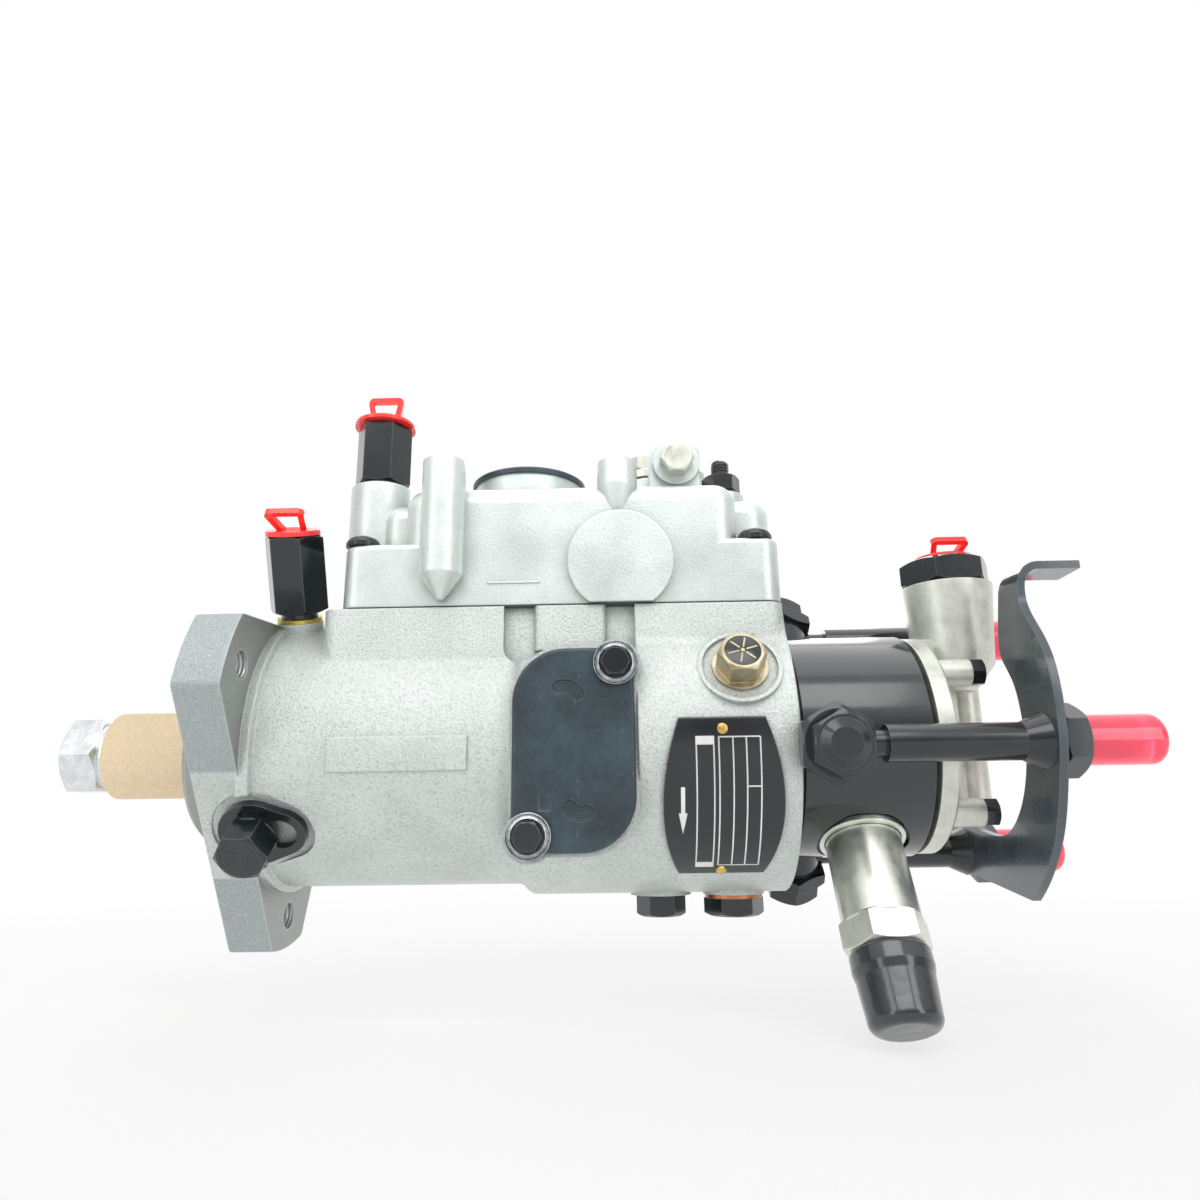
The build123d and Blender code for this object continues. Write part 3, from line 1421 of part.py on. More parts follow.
with BuildPart() as flyweight:
    with BuildSketch(Plane.XZ.offset(-weight_half_width)) as weight_side:
        with BuildLine():
            Polyline(
                (weight_start, weight_inner),
                (weight_start, weight_outer),
                (weight_end - 3, weight_outer),
                (weight_pivot_x + 2.6, weight_pivot_radius + 2.6),
                (weight_pivot_x + 2.6, weight_pivot_radius - 3),
                (toe_end, toe_tip_radius + 3),
                (toe_end, toe_tip_radius),
                (toe_start, toe_tip_radius),
                (toe_start, weight_inner),
                close=True,
            )
        make_face()
    extrude(amount=2 * weight_half_width)
    with Locations(
        Plane(
            origin=(weight_pivot_x, -ear_outer, weight_pivot_radius), x_dir=(1, 0, 0), z_dir=(0, 1, 0)
        )
    ):
        Cylinder(trunnion_radius, 2 * ear_outer, align=LOW)
for index, angle in enumerate(weight_angles):
    save(Rot(angle - 90, 0, 0) * flyweight.part, f"flyweight_{index + 1}")

with BuildPart() as thrust_sleeve:
    with Locations(across(thrust_start)):
        Cylinder(thrust_radius, thrust_end - thrust_start, align=LOW)
        Cylinder(thrust_flange, thrust_flange_width, align=LOW)
    with Locations(across(thrust_end)):
        Cylinder(thrust_flange, thrust_flange_width, align=HIGH)
    with Locations(across(thrust_start)):
        Cylinder(
            journal_radius + run_gap, thrust_end - thrust_start, align=LOW, mode=Mode.SUBTRACT
        )
save(thrust_sleeve.part, "thrust_sleeve")

arm_face_x = thrust_start - 1.5
with BuildPart() as governor_arm:
    with BuildSketch(across(arm_face_x)):
        with Locations((0, fork_bottom)):
            Rectangle(
                2 * fork_half_width, arm_pivot_z + 4 - fork_bottom, align=(Align.CENTER, Align.MIN)
            )
            Rectangle(
                2 * (journal_radius + 1.4), fork_top - fork_bottom, align=(Align.CENTER, Align.MIN),
                mode=Mode.SUBTRACT,
            )
        with Locations((0, arm_pivot_z)):
            Rectangle(2 * arm_half_width, arm_top - arm_pivot_z, align=(Align.CENTER, Align.MIN))
        with Locations((link_y, link_z)):
            Circle(link_radius + 0.3, mode=Mode.SUBTRACT)
    extrude(amount=-arm_thickness)
    with Locations((arm_face_x - arm_thickness / 2, 0, arm_pivot_z)):
        Cylinder(arm_pin_radius + 1.2, 2 * fork_half_width, rotation=(90, 0, 0))
        Cylinder(arm_pin_radius, 2 * bracket_ear[1], rotation=(90, 0, 0))
    for side in (-1, 1):
        with Locations((arm_face_x - 0.1, side * (fork_half_width - 1.6), 0)):
            Cylinder(1.55, 3.0, rotation=(90, 0, 0))
save(governor_arm.part, "governor_arm")

bracket_left, bracket_right = 42.5, 60.0
arm_mid_x = arm_face_x - arm_thickness / 2
with BuildPart() as control_bracket:
    with BuildSketch(Plane.XY.offset(joint_z + seat_gap)):
        with Locations((bracket_left, 0)):
            Rectangle(
                bracket_right - bracket_left, 2 * bracket_plate_half, align=(Align.MIN, Align.CENTER)
            )
            Rectangle(
                arm_face_x + 5 - bracket_left, 2 * arm_half_width + 2, align=(Align.MIN, Align.CENTER),
                mode=Mode.SUBTRACT,
            )
    extrude(amount=1.6)
    for side in (-1, 1):
        with Locations((arm_mid_x, side * (bracket_ear[0] + bracket_ear[1]) / 2, arm_pivot_z - 4)):
            Box(8.0, bracket_ear[1] - bracket_ear[0], joint_z + 1 - arm_pivot_z + 4, align=LOW)
    with Locations((arm_mid_x, 0, arm_pivot_z)):
        Cylinder(
            arm_pin_radius + run_gap, 2 * bracket_ear[1] + 2, rotation=(90, 0, 0), mode=Mode.SUBTRACT
        )
save(control_bracket.part, "control_bracket")

pin_x = metering_x
with BuildPart() as linkage_rod:
    with Locations(across(43.2) * Pos(link_y, link_z, 0)):
        Cylinder(link_radius, pin_x - 2.0 - 43.2, align=LOW)
    for collar_x in (arm_face_x - arm_thickness - 0.4 - 1.6, arm_face_x + 0.4):
        with Locations(across(collar_x) * Pos(link_y, link_z, 0)):
            Cylinder(link_radius + 1.0, 1.6, align=LOW)
    with Locations((pin_x, link_y, link_z - 1)):
        Cylinder(3.0, 2.0, align=LOW)
        Cylinder(1.5, 2.0, align=LOW, mode=Mode.SUBTRACT)
save(linkage_rod.part, "linkage_rod")

with BuildPart() as metering_valve:
    with Locations((metering_x, 0, metering_bottom)):
        Cylinder(metering_radius, metering_top - metering_bottom, align=LOW)
    with BuildSketch(Plane.XY.offset(metering_top)):
        with Locations((metering_x, 0)):
            Circle(metering_radius)
        with Locations((metering_x, link_y)):
            Circle(2.6)
        make_hull()
    extrude(amount=metering_arm_thickness)
    with Locations((metering_x, link_y, metering_top)):
        Cylinder(1.2, link_z + 2.2 - metering_top, align=LOW)
save(metering_valve.part, "metering_valve")

# governor spring between the arm and the throttle shaft
with BuildPart() as governor_spring:
    with Locations(across(arm_face_x + 0.05) * Pos(-4.0, link_z - 2, 0)):
        Cylinder(3.6, 2.0, align=LOW)
    for turn in range(8):
        with Locations(across(arm_face_x + 2.6 + 2.2 * turn) * Pos(-4.0, link_z - 2, 0)):
            Torus(3.0, 0.7)
    with Locations(across(arm_face_x + 0.05) * Pos(-4.0, link_z - 2, 0)):
        Cylinder(2.6, 21.0, align=LOW)
save(governor_spring.part, "governor_spring")

# ================================================================ pumping section
with BuildPart() as drive_plates:
    with Locations(across(drive_plate_start)):
        Cylinder(drive_plate_radius, drive_plate_end - drive_plate_start, align=LOW)
        Cylinder(3.0, drive_plate_end - drive_plate_start, align=LOW, mode=Mode.SUBTRACT)
    with Locations(across(drive_plate_end + 0.1)):
        Cylinder(adjusting_radius, adjusting_thickness, align=LOW)
        Cylinder(3.0, adjusting_thickness, align=LOW, mode=Mode.SUBTRACT)
    with Locations(across(cam_end + 0.1)):
        Cylinder(adjusting_radius, adjusting_thickness, align=LOW)
        Cylinder(rotor_radius + seat_gap, adjusting_thickness, align=LOW, mode=Mode.SUBTRACT)
save(drive_plates.part, "drive_plates")

with BuildPart() as cam_ring:
    with BuildSketch(across(cam_start)):
        Circle(head_radius)
        Circle(cam_lobe_radius, mode=Mode.SUBTRACT)
        with PolarLocations(cam_valley_circle, cam_valleys, start_angle=30):
            Circle(cam_valley_radius, mode=Mode.SUBTRACT)
    extrude(amount=cam_end - cam_start)
    with Locations(outward((cam_start + cam_end) / 2, 270, head_radius - 4)):
        Cylinder(3.0, 6, align=LOW, mode=Mode.SUBTRACT)
save(cam_ring.part, "cam_ring")

rotor_start = drive_plate_end + 0.1 + adjusting_thickness + 0.1
shoe_slot = box_between(
    shoe_start - 0.1, shoe_end + 0.1, -shoe_half_width - 0.1, shoe_half_width + 0.1,
    plunger_outer, pump_radius + 1
)
shoe_mid = (shoe_start + shoe_end) / 2
with BuildPart() as rotor:
    with Locations(across(rotor_start)):
        Cylinder(pump_radius, cam_end - rotor_start, align=LOW)
        Cylinder(rotor_radius, head_end - transfer_depth - 0.1 - rotor_start, align=LOW)
        Cylinder(rotor_end_radius, head_end - 0.3 - rotor_start, align=LOW)
    for turn in (0, 180):
        with Locations(Rot(turn, 0, 0)):
            add(shoe_slot, mode=Mode.SUBTRACT)
    with Locations((shoe_mid, 0, 0)):
        Cylinder(plunger_radius + run_gap, 3 * pump_radius, mode=Mode.SUBTRACT)
    with Locations(across(shoe_mid)):
        Cylinder(1.2, outlet_x - shoe_mid, align=LOW, mode=Mode.SUBTRACT)
save(rotor.part, "rotor")

with BuildPart() as plungers:
    for side in (LOW, HIGH):
        offset = plunger_inner if side == LOW else -plunger_inner
        with Locations((shoe_mid, 0, offset)):
            Cylinder(plunger_radius, plunger_outer - plunger_inner, align=side)
save(plungers.part, "plungers")

with BuildPart() as shoe:
    with Locations(((shoe_start + shoe_end) / 2, 0, plunger_outer + 0.05)):
        Box(
            shoe_end - shoe_start, 2 * shoe_half_width, shoe_top - plunger_outer - 0.05, align=LOW
        )
    with Locations(lengthways(roller_circle, 90, shoe_start)):
        Cylinder(
            roller_radius + thread_gap, shoe_end - shoe_start, align=LOW, mode=Mode.SUBTRACT
        )
with BuildPart() as roller:
    with Locations(lengthways(roller_circle, 90, shoe_start)):
        Cylinder(roller_radius, shoe_end - shoe_start, align=LOW)
with BuildPart() as roller_shoes:
    for turn in (0, 180):
        with Locations(Rot(turn, 0, 0)):
            add(shoe.part)
            add(roller.part)
save(roller_shoes.part, "roller_shoes")

# ================================================================ transfer pump
with BuildPart() as transfer_liner:
    with BuildSketch(across(head_end - transfer_depth)):
        Circle(transfer_radius - seat_gap)
        with Locations((liner_offset, 0)):
            Circle(liner_bore, mode=Mode.SUBTRACT)
    extrude(amount=transfer_depth - 0.05)
save(transfer_liner.part, "transfer_liner")

with BuildPart() as transfer_rotor:
    with BuildSketch(across(head_end - transfer_depth + 0.1)):
        Circle(transfer_rotor_radius)
        Rectangle(2 * liner_bore, blade_width + 0.08, mode=Mode.SUBTRACT)
        Circle(rotor_end_radius + 1.2)
        Circle(rotor_end_radius + seat_gap, mode=Mode.SUBTRACT)
    extrude(amount=transfer_depth - 0.4)
save(transfer_rotor.part, "transfer_rotor")

blade_inner = rotor_end_radius + 1.3
with BuildPart() as transfer_blades:
    for side in (-1, 1):
        with Locations((head_end - transfer_depth + 0.1, side * (blade_inner + blade_tip) / 2, 0)):
            Box(
                transfer_depth - 0.4, blade_tip - blade_inner, blade_width,
                align=(Align.MIN, Align.CENTER, Align.CENTER),
            )
save(transfer_blades.part, "transfer_blades")
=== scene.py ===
import logging
import math
from dataclasses import dataclass
from enum import Enum

import bmesh
import bpy
from mathutils import Matrix, Vector
from mathutils.geometry import tessellate_polygon


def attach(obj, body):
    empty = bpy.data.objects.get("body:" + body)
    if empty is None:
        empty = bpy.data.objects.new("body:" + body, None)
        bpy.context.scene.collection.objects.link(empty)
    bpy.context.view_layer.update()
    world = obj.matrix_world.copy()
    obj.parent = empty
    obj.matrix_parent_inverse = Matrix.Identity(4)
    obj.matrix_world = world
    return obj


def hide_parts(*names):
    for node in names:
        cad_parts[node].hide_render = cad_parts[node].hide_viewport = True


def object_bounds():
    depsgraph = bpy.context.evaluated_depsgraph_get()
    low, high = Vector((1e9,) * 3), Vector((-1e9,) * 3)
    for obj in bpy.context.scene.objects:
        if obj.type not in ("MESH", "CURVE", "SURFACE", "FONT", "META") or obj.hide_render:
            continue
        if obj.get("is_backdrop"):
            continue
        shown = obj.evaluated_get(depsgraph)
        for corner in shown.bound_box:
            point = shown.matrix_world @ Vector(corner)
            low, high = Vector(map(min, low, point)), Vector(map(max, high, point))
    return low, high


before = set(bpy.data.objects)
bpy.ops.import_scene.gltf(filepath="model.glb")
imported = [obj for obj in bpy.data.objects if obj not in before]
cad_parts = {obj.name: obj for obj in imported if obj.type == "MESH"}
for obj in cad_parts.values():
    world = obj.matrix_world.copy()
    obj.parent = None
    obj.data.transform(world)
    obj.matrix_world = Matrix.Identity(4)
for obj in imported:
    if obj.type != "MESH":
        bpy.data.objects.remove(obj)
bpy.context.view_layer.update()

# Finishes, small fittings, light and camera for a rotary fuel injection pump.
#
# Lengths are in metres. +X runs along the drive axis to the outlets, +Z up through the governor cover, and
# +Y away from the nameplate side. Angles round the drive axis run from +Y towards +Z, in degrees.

log = logging.getLogger("pump")

MM = 0.001
Colour = tuple[float, float, float]
Place = tuple[float, float, float]
Flat = tuple[float, float]
Ring = list[Place]
Socket = bpy.types.NodeSocket
Inputs = dict[str | int, object]


def linear(red: int, green: int, blue: int) -> Colour:
    """Convert an 8-bit display colour to linear light.

    Args:
        red: Red, 0 to 255.
        green: Green, 0 to 255.
        blue: Blue, 0 to 255.

    Returns:
        The colour as three linear values.
    """
    shares = (red / 255, green / 255, blue / 255)
    return tuple(v / 12.92 if v <= 0.04045 else ((v + 0.055) / 1.055) ** 2.4 for v in shares)


def shade(colour: Colour, factor: float) -> Colour:
    """Scale a colour's brightness."""
    return tuple(min(1.0, part * factor) for part in colour)


def opaque(value: Socket | Colour) -> Socket | tuple[float, float, float, float]:
    """Add a full alpha to a plain colour, and leave an output as it is."""
    return (*value, 1.0) if isinstance(value, tuple) else value


# ---------------------------------------------------------------- node graphs


class Tree:
    """A node tree with one call that adds a node, sets it up and fills its inputs."""

    def __init__(self, owner: bpy.types.Material | bpy.types.World) -> None:
        """Turn on the owner's nodes.

        Args:
            owner: The material or the world.
        """
        owner.use_nodes = True
        self.nodes = owner.node_tree.nodes
        self.links = owner.node_tree.links

    def node(self, kind: str, inputs: Inputs | None = None, **settings: object) -> bpy.types.Node:
        """Add a node.

        Args:
            kind: The node's type, without the words that all types start with.
            inputs: Values, or the outputs to join, for inputs by name or number.
            **settings: The node's own settings.

        Returns:
            The node.
        """
        node = self.nodes.new("ShaderNode" + kind)
        for name, value in settings.items():
            setattr(node, name, value)
        for key, value in (inputs or {}).items():
            if isinstance(value, Socket):
                self.links.new(value, node.inputs[key])
            else:
                node.inputs[key].default_value = value
        return node


class Graph(Tree):
    """A material's node tree, with short calls for the nodes that the finishes share."""

    wave_scale: float = 0.314
    edge_turn: Flat = (0.985, 0.88)
    square_turn: Flat = (0.94, 0.98)

    def __init__(self, name: str) -> None:
        """Start a material with one principled shader.

        Args:
            name: The material's name.
        """
        self.material = bpy.data.materials.new(name)
        super().__init__(self.material)
        self.shader = self.nodes["Principled BSDF"]
        self.place = self.node("TexCoord").outputs["Object"]
        self.normal: Socket | None = None

    def set(self, **values: float | Colour) -> None:
        """Write constants on the shader's own sockets.

        Args:
            **values: Socket names in lower case with underscores, and their values.
        """
        for name, value in values.items():
            socket = self.shader.inputs[name.replace("_", " ").title().replace("Ior", "IOR")]
            socket.default_value = opaque(value) if socket.type == "RGBA" else value

    def stretched(self, scale: Place, turn: Place = (0, 0, 0)) -> Socket:
        """Give object coordinates turned by radians, then stretched along X, Y and Z."""
        inputs = {"Scale": scale, "Rotation": turn, "Vector": self.place}
        return self.node("Mapping", inputs).outputs["Vector"]

    def noise(
        self, size: float, detail: float = 3, rough: float = 0.5, place: Socket | None = None
    ) -> Socket:
        """Give noise whose blotches are about a size across.

        Args:
            size: Blotch size.
            detail: Octaves.
            rough: Weight of the finer octaves.
            place: Coordinates, object coordinates if left out.

        Returns:
            The noise, 0 to 1.
        """
        inputs = {"Scale": 1 / size, "Detail": detail, "Roughness": rough, "Vector": place or self.place}
        return self.node("TexNoise", inputs).outputs["Fac"]

    def bands(self, pitch: float, wander: float) -> Socket:
        """Give sine bands square to X, by their pitch and how far they wander."""
        inputs = {"Scale": self.wave_scale / pitch, "Distortion": wander, "Vector": self.place}
        return self.node("TexWave", inputs, bands_direction="X").outputs["Fac"]

    def ramp(self, source: Socket, low: tuple[float, Colour], high: tuple[float, Colour]) -> Socket:
        """Turn a value into a colour.

        Args:
            source: The value.
            low: Position and colour of the lower stop.
            high: Position and colour of the upper stop.

        Returns:
            The colour.
        """
        node = self.node("ValToRGB", {"Fac": source})
        for mark, (position, colour) in zip(node.color_ramp.elements, (low, high)):
            mark.position = position
            mark.color = opaque(colour)
        return node.outputs["Color"]

    def span(self, source: Socket, low: float, high: float, start: float = 0.0, end: float = 1.0) -> Socket:
        """Map a value from one range to another.

        Args:
            source: The value.
            low: Result at start.
            high: Result at end.
            start: Value that gives low.
            end: Value that gives high.

        Returns:
            The mapped value.
        """
        inputs = {"From Min": start, "From Max": end, "To Min": low, "To Max": high, "Value": source}
        return self.node("MapRange", inputs).outputs["Result"]

    def mix(self, share: Socket, first: Socket | Colour, second: Socket | Colour) -> Socket:
        """Blend from the first colour to the second as the share goes from 0 to 1."""
        return self.node("Mix", {0: share, 6: opaque(first), 7: opaque(second)}, data_type="RGBA").outputs[2]

    def times(self, first: Socket, second: Socket) -> Socket:
        """Multiply two values."""
        return self.node("Math", {0: first, 1: second}, operation="MULTIPLY").outputs[0]

    def length(self, vector: Socket) -> Socket:
        """Give the length of a vector."""
        return self.node("VectorMath", {0: vector}, operation="LENGTH").outputs["Value"]

    def along_drive(self) -> Socket:
        """Give the place along the drive axis."""
        return self.node("SeparateXYZ", {0: self.place}).outputs["X"]

    def square_to_drive(self) -> Socket:
        """Give 1 where a face is square to the drive axis, either way, and 0 elsewhere.

        Returns:
            The mask.
        """
        normal = self.node("SeparateXYZ", {0: self.node("TexCoord").outputs["Normal"]})
        size = self.node("Math", {0: normal.outputs["X"]}, operation="ABSOLUTE")
        return self.span(size.outputs[0], 0, 1, *self.square_turn)

    def round_edges(self, radius: float) -> Socket:
        """Round the shading of sharp edges and give a mask of them.

        Args:
            radius: Edge radius.

        Returns:
            0 on faces, rising to 1 on edges.
        """
        self.normal = self.node("Bevel", {"Radius": radius}, samples=4).outputs["Normal"]
        face = self.node("NewGeometry").outputs["Normal"]
        dot = self.node("VectorMath", {0: self.normal, 1: face}, operation="DOT_PRODUCT")
        return self.span(dot.outputs["Value"], 0, 1, *self.edge_turn)

    def crevices(self, reach: float) -> Socket:
        """Give 1 in the open and less in corners and under neighbours within reach, for painting shade there.
        """
        return self.node("AmbientOcclusion", {"Distance": reach}, samples=4).outputs["AO"]

    def bump(self, *layers: tuple[Socket, float, float]) -> None:
        """Stack bumps on the shader's normal.

        Args:
            *layers: Height output, depth and strength of each layer.
        """
        below = self.normal
        for height, depth, strength in layers:
            inputs = {"Distance": depth, "Strength": strength, "Height": height}
            if below is not None:
                inputs["Normal"] = below
            below = self.node("Bump", inputs).outputs["Normal"]
        self.links.new(below, self.shader.inputs["Normal"])

    def colour(self, source: Socket) -> None:
        """Drive the base colour."""
        self.links.new(source, self.shader.inputs["Base Color"])

    def roughness(self, source: Socket) -> None:
        """Drive the roughness."""
        self.links.new(source, self.shader.inputs["Roughness"])


# ---------------------------------------------------------------- finishes


@dataclass(frozen=True)
class Finish:
    """A named surface with a record slot."""

    name: str
    slot: str

    def material(self) -> bpy.types.Material:
        """Return the finish's material, made on first use."""
        return bpy.data.materials.get(self.name) or self.make()

    def make(self) -> bpy.types.Material:
        """Build the node graph."""
        raise NotImplementedError


@dataclass(frozen=True)
class CastAluminium(Finish):
    """Blasted casting: pale metal with fine grain, blotches, small pits and rubbed edges, and painted shade
    that darkens its corners.
    """

    tint: Colour = linear(212, 218, 214)
    blotch: float = 22 * MM
    grain: float = 0.85 * MM
    pit: float = 1.6 * MM
    depth: float = 0.4 * MM
    gloss: float = 0.4
    speckle: float = 0.58
    metal: float = 0.62
    edge_radius: float = 0.9 * MM
    painted_shade_reach: float = 6 * MM
    flange_end: float = 0.0
    flange_radius: float = 46.3 * MM
    flange_blend: float = 0.3 * MM
    rim_tint: Colour = linear(168, 176, 178)
    milled_tint: Colour = linear(166, 169, 165)
    milled_line: float = 0.9 * MM
    milled_grain: float = 0.12

    def make(self) -> bpy.types.Material:
        """Build the casting.

        Returns:
            The material.
        """
        g = Graph(self.name)
        edge = g.round_edges(self.edge_radius)
        blotch = g.noise(self.blotch, 4, 0.6)
        grain = g.noise(self.grain, 3, 0.65)
        fine = g.noise(self.grain * 0.45, 2, 0.6)
        pits = g.noise(self.pit, 2, 0.5)
        depth = grain
        tone = g.ramp(blotch, (0.3, shade(self.tint, 0.88)), (0.7, shade(self.tint, 1.06)))
        if self.flange_end:
            milled, rim = self.flange(g)
            tone = g.mix(rim, tone, self.rim_tint)
        tone = g.mix(g.span(grain, self.speckle, 0.0, 0.3, 0.52), tone, shade(self.tint, 0.5))
        tone = g.mix(g.span(fine, 0.0, self.speckle, 0.55, 0.72), tone, shade(self.tint, 1.35))
        tone = g.mix(g.span(pits, 0.0, 0.4, 0.74, 0.8), tone, shade(self.tint, 0.3))
        if self.flange_end:
            tone = g.mix(milled, tone, self.milling(g))
            depth = g.times(grain, g.span(milled, 1, self.milled_grain))
        tone = g.mix(g.span(edge, 0, 0.6), tone, shade(self.tint, 1.3))
        # Painted shade: ambient occlusion darkens the casting's colour in corners and under neighbouring
        # parts.
        corners = g.span(g.crevices(self.painted_shade_reach), 0.6, 0.0, 0.35, 0.97)
        g.colour(g.mix(corners, tone, shade(self.tint, 0.34)))
        g.roughness(g.span(blotch, self.gloss - 0.05, self.gloss + 0.08, 0.3, 0.7))
        g.set(metallic=self.metal)
        g.bump((depth, self.depth, 0.9), (fine, self.depth * 0.6, 0.8), (blotch, 0.6 * MM, 0.15))
        return g.material

    def milling(self, g: Graph) -> Socket:
        """Give the cutter's lines on the milled faces.

        Args:
            g: The material's graph.

        Returns:
            The lines' colour.
        """
        lines = g.noise(self.milled_line, 4, 0.7, g.stretched((0.4, 0.4, 3.0), (0.3, 0, 0)))
        return g.ramp(lines, (0.35, shade(self.milled_tint, 0.86)), (0.65, shade(self.milled_tint, 1.04)))

    def flange(self, g: Graph) -> tuple[Socket, Socket]:
        """Mask the flange's milled faces and its rough rim.

        Args:
            g: The material's graph.

        Returns:
            The mask of the milled faces and the mask of the rim.
        """
        place = g.along_drive()
        near = g.span(place, 1, 0, self.flange_end, self.flange_end + self.flange_blend)
        radius = g.length(g.stretched((0, 1, 1)))
        beyond = g.span(radius, 0, 1, self.flange_radius, self.flange_radius + 0.4 * MM)
        square = g.square_to_drive()
        pilot = g.span(place, 1, 0, -self.flange_blend, 0)
        milled = g.mix(pilot, g.times(near, square), (1, 1, 1))
        return milled, g.times(g.times(near, beyond), g.span(square, 1, 0))


@dataclass(frozen=True)
class TurnedMetal(Finish):
    """Machined or plated metal with faint tool lines and bright edges."""

    tint: Colour
    second: Colour
    rough: float
    metal: float = 1.0
    pitch: float = 0.6 * MM
    cloud: float = 6 * MM
    streak: float = 4 * MM
    edge_radius: float = 0.5 * MM
    rubbed: float = 0.35

    def make(self) -> bpy.types.Material:
        """Build the metal.

        Returns:
            The material.
        """
        g = Graph(self.name)
        edge = g.round_edges(self.edge_radius)
        cloud = g.noise(self.cloud, 5, 0.65)
        streak = g.noise(self.streak, 3, 0.6, g.stretched((14, 1, 1)))
        tone = g.ramp(cloud, (0.32, self.second), (0.62, self.tint))
        tone = g.mix(g.span(streak, 0, 0.3, 0.45, 0.7), tone, shade(self.second, 0.8))
        g.colour(g.mix(g.span(edge, 0, self.rubbed), tone, shade(self.tint, 1.7)))
        g.roughness(g.span(cloud, self.rough - 0.05, self.rough + 0.12, 0.3, 0.75))
        g.set(metallic=self.metal)
        g.bump((g.bands(self.pitch, 0.4), 0.01 * MM, 0.35), (cloud, 0.12 * MM, 0.12))
        return g.material


@dataclass(frozen=True)
class Washers(Finish):
    """Soft washers: yellow brass at the drive end, copper under the pump."""

    brass: Colour = linear(206, 186, 96)
    copper: Colour = linear(198, 128, 92)
    tarnish: Colour = linear(120, 92, 60)
    change: Flat = (90 * MM, 100 * MM)
    cloud: float = 3 * MM
    edge_radius: float = 0.3 * MM

    def make(self) -> bpy.types.Material:
        """Build the two metals in one graph.

        Returns:
            The material.
        """
        g = Graph(self.name)
        g.round_edges(self.edge_radius)
        cloud = g.noise(self.cloud, 4, 0.6)
        tone = g.mix(g.span(g.along_drive(), 0, 1, *self.change), self.brass, self.copper)
        g.colour(g.mix(g.span(cloud, 0, 0.4, 0.4, 0.7), tone, self.tarnish))
        g.set(metallic=0.9, roughness=0.3)
        g.bump((cloud, 0.08 * MM, 0.2))
        return g.material


@dataclass(frozen=True)
class Paint(Finish):
    """Sprayed or dipped black over metal, with a light orange peel, dust and rubbed edges."""

    tint: Colour
    rubbed: Colour = linear(120, 130, 134)
    rough: float = 0.4
    coat: float = 0.2
    peel: float = 1.2 * MM
    coat_rough: float = 0.1
    speckle: float = 0.0
    metal: float = 0.0
    edge: float = 0.5
    edge_radius: float = 0.5 * MM
    cloud: float = 18 * MM
    scuff: float = 1.2 * MM
    patch: float = 11 * MM
    haze: float = 13 * MM

    def make(self) -> bpy.types.Material:
        """Build the paint.

        Returns:
            The material.
        """
        g = Graph(self.name)
        edge = g.round_edges(self.edge_radius)
        cloud = g.noise(self.cloud, 4, 0.6)
        peel = g.noise(self.peel, 2, 0.5)
        tone = g.ramp(cloud, (0.3, shade(self.tint, 0.82)), (0.7, shade(self.tint, 1.15)))
        if self.speckle:
            tone = self.worn(g, tone)
        g.colour(g.mix(g.span(edge, 0, self.edge), tone, self.rubbed))
        g.roughness(g.span(cloud, self.rough - 0.06, self.rough + 0.08, 0.3, 0.7))
        g.set(metallic=self.metal, coat_weight=self.coat, coat_roughness=self.coat_rough)
        g.bump((peel, 0.04 * MM, 0.45), (cloud, 0.3 * MM, 0.08))
        return g.material

    def worn(self, g: Graph, tone: Socket) -> Socket:
        """Add dust, fine scuffs in patches and a pale haze.

        Args:
            g: The material's graph.
            tone: The paint's colour.

        Returns:
            The handled paint's colour.
        """
        dust = g.noise(self.speckle, 3, 0.7)
        tone = g.mix(g.span(dust, 0, 0.5, 0.55, 0.8), tone, shade(self.tint, 2.4))
        scuff = g.noise(self.scuff, 5, 0.75, g.stretched((1.2, 1.0, 0.5), (0, 0.7, 0)))
        patch = g.noise(self.patch, 2, 0.5)
        scuffed = g.times(g.span(scuff, 0, 1, 0.6, 0.68), g.span(patch, 0, 0.9, 0.5, 0.62))
        tone = g.mix(scuffed, tone, shade(self.tint, 5.0))
        haze = g.noise(self.haze, 5, 0.7)
        return g.mix(g.span(haze, 0, 0.6, 0.38, 0.72), tone, shade(self.tint, 3.2))


@dataclass(frozen=True)
class Moulding(Finish):
    """Glossy coloured plastic, clear or solid, with a weak even emission as painted light, standing in for
    light that shines through it.
    """

    tint: Colour
    clear: float = 0.0
    rough: float = 0.22
    painted_glow: float = 0.0
    cloud: float = 8 * MM
    peel: float = 1.1 * MM

    def make(self) -> bpy.types.Material:
        """Build the plastic.

        Returns:
            The material.
        """
        g = Graph(self.name)
        cloud = g.noise(self.cloud, 3, 0.5)
        g.colour(g.ramp(cloud, (0.3, shade(self.tint, 0.86)), (0.7, shade(self.tint, 1.08))))
        g.roughness(g.span(cloud, self.rough - 0.04, self.rough + 0.06, 0.3, 0.7))
        g.set(
            subsurface_weight=0.25,
            subsurface_radius=(4 * MM, 1 * MM, 1 * MM),
            subsurface_scale=0.6,
            transmission_weight=self.clear,
            ior=1.46,
            coat_weight=0.5,
            coat_roughness=0.08,
            # Painted light: the emission makes the plastic glow although it is no lamp.
            emission_color=self.tint,
            emission_strength=self.painted_glow,
        )
        g.bump((g.noise(self.peel, 2), 0.02 * MM, 0.3))
        return g.material


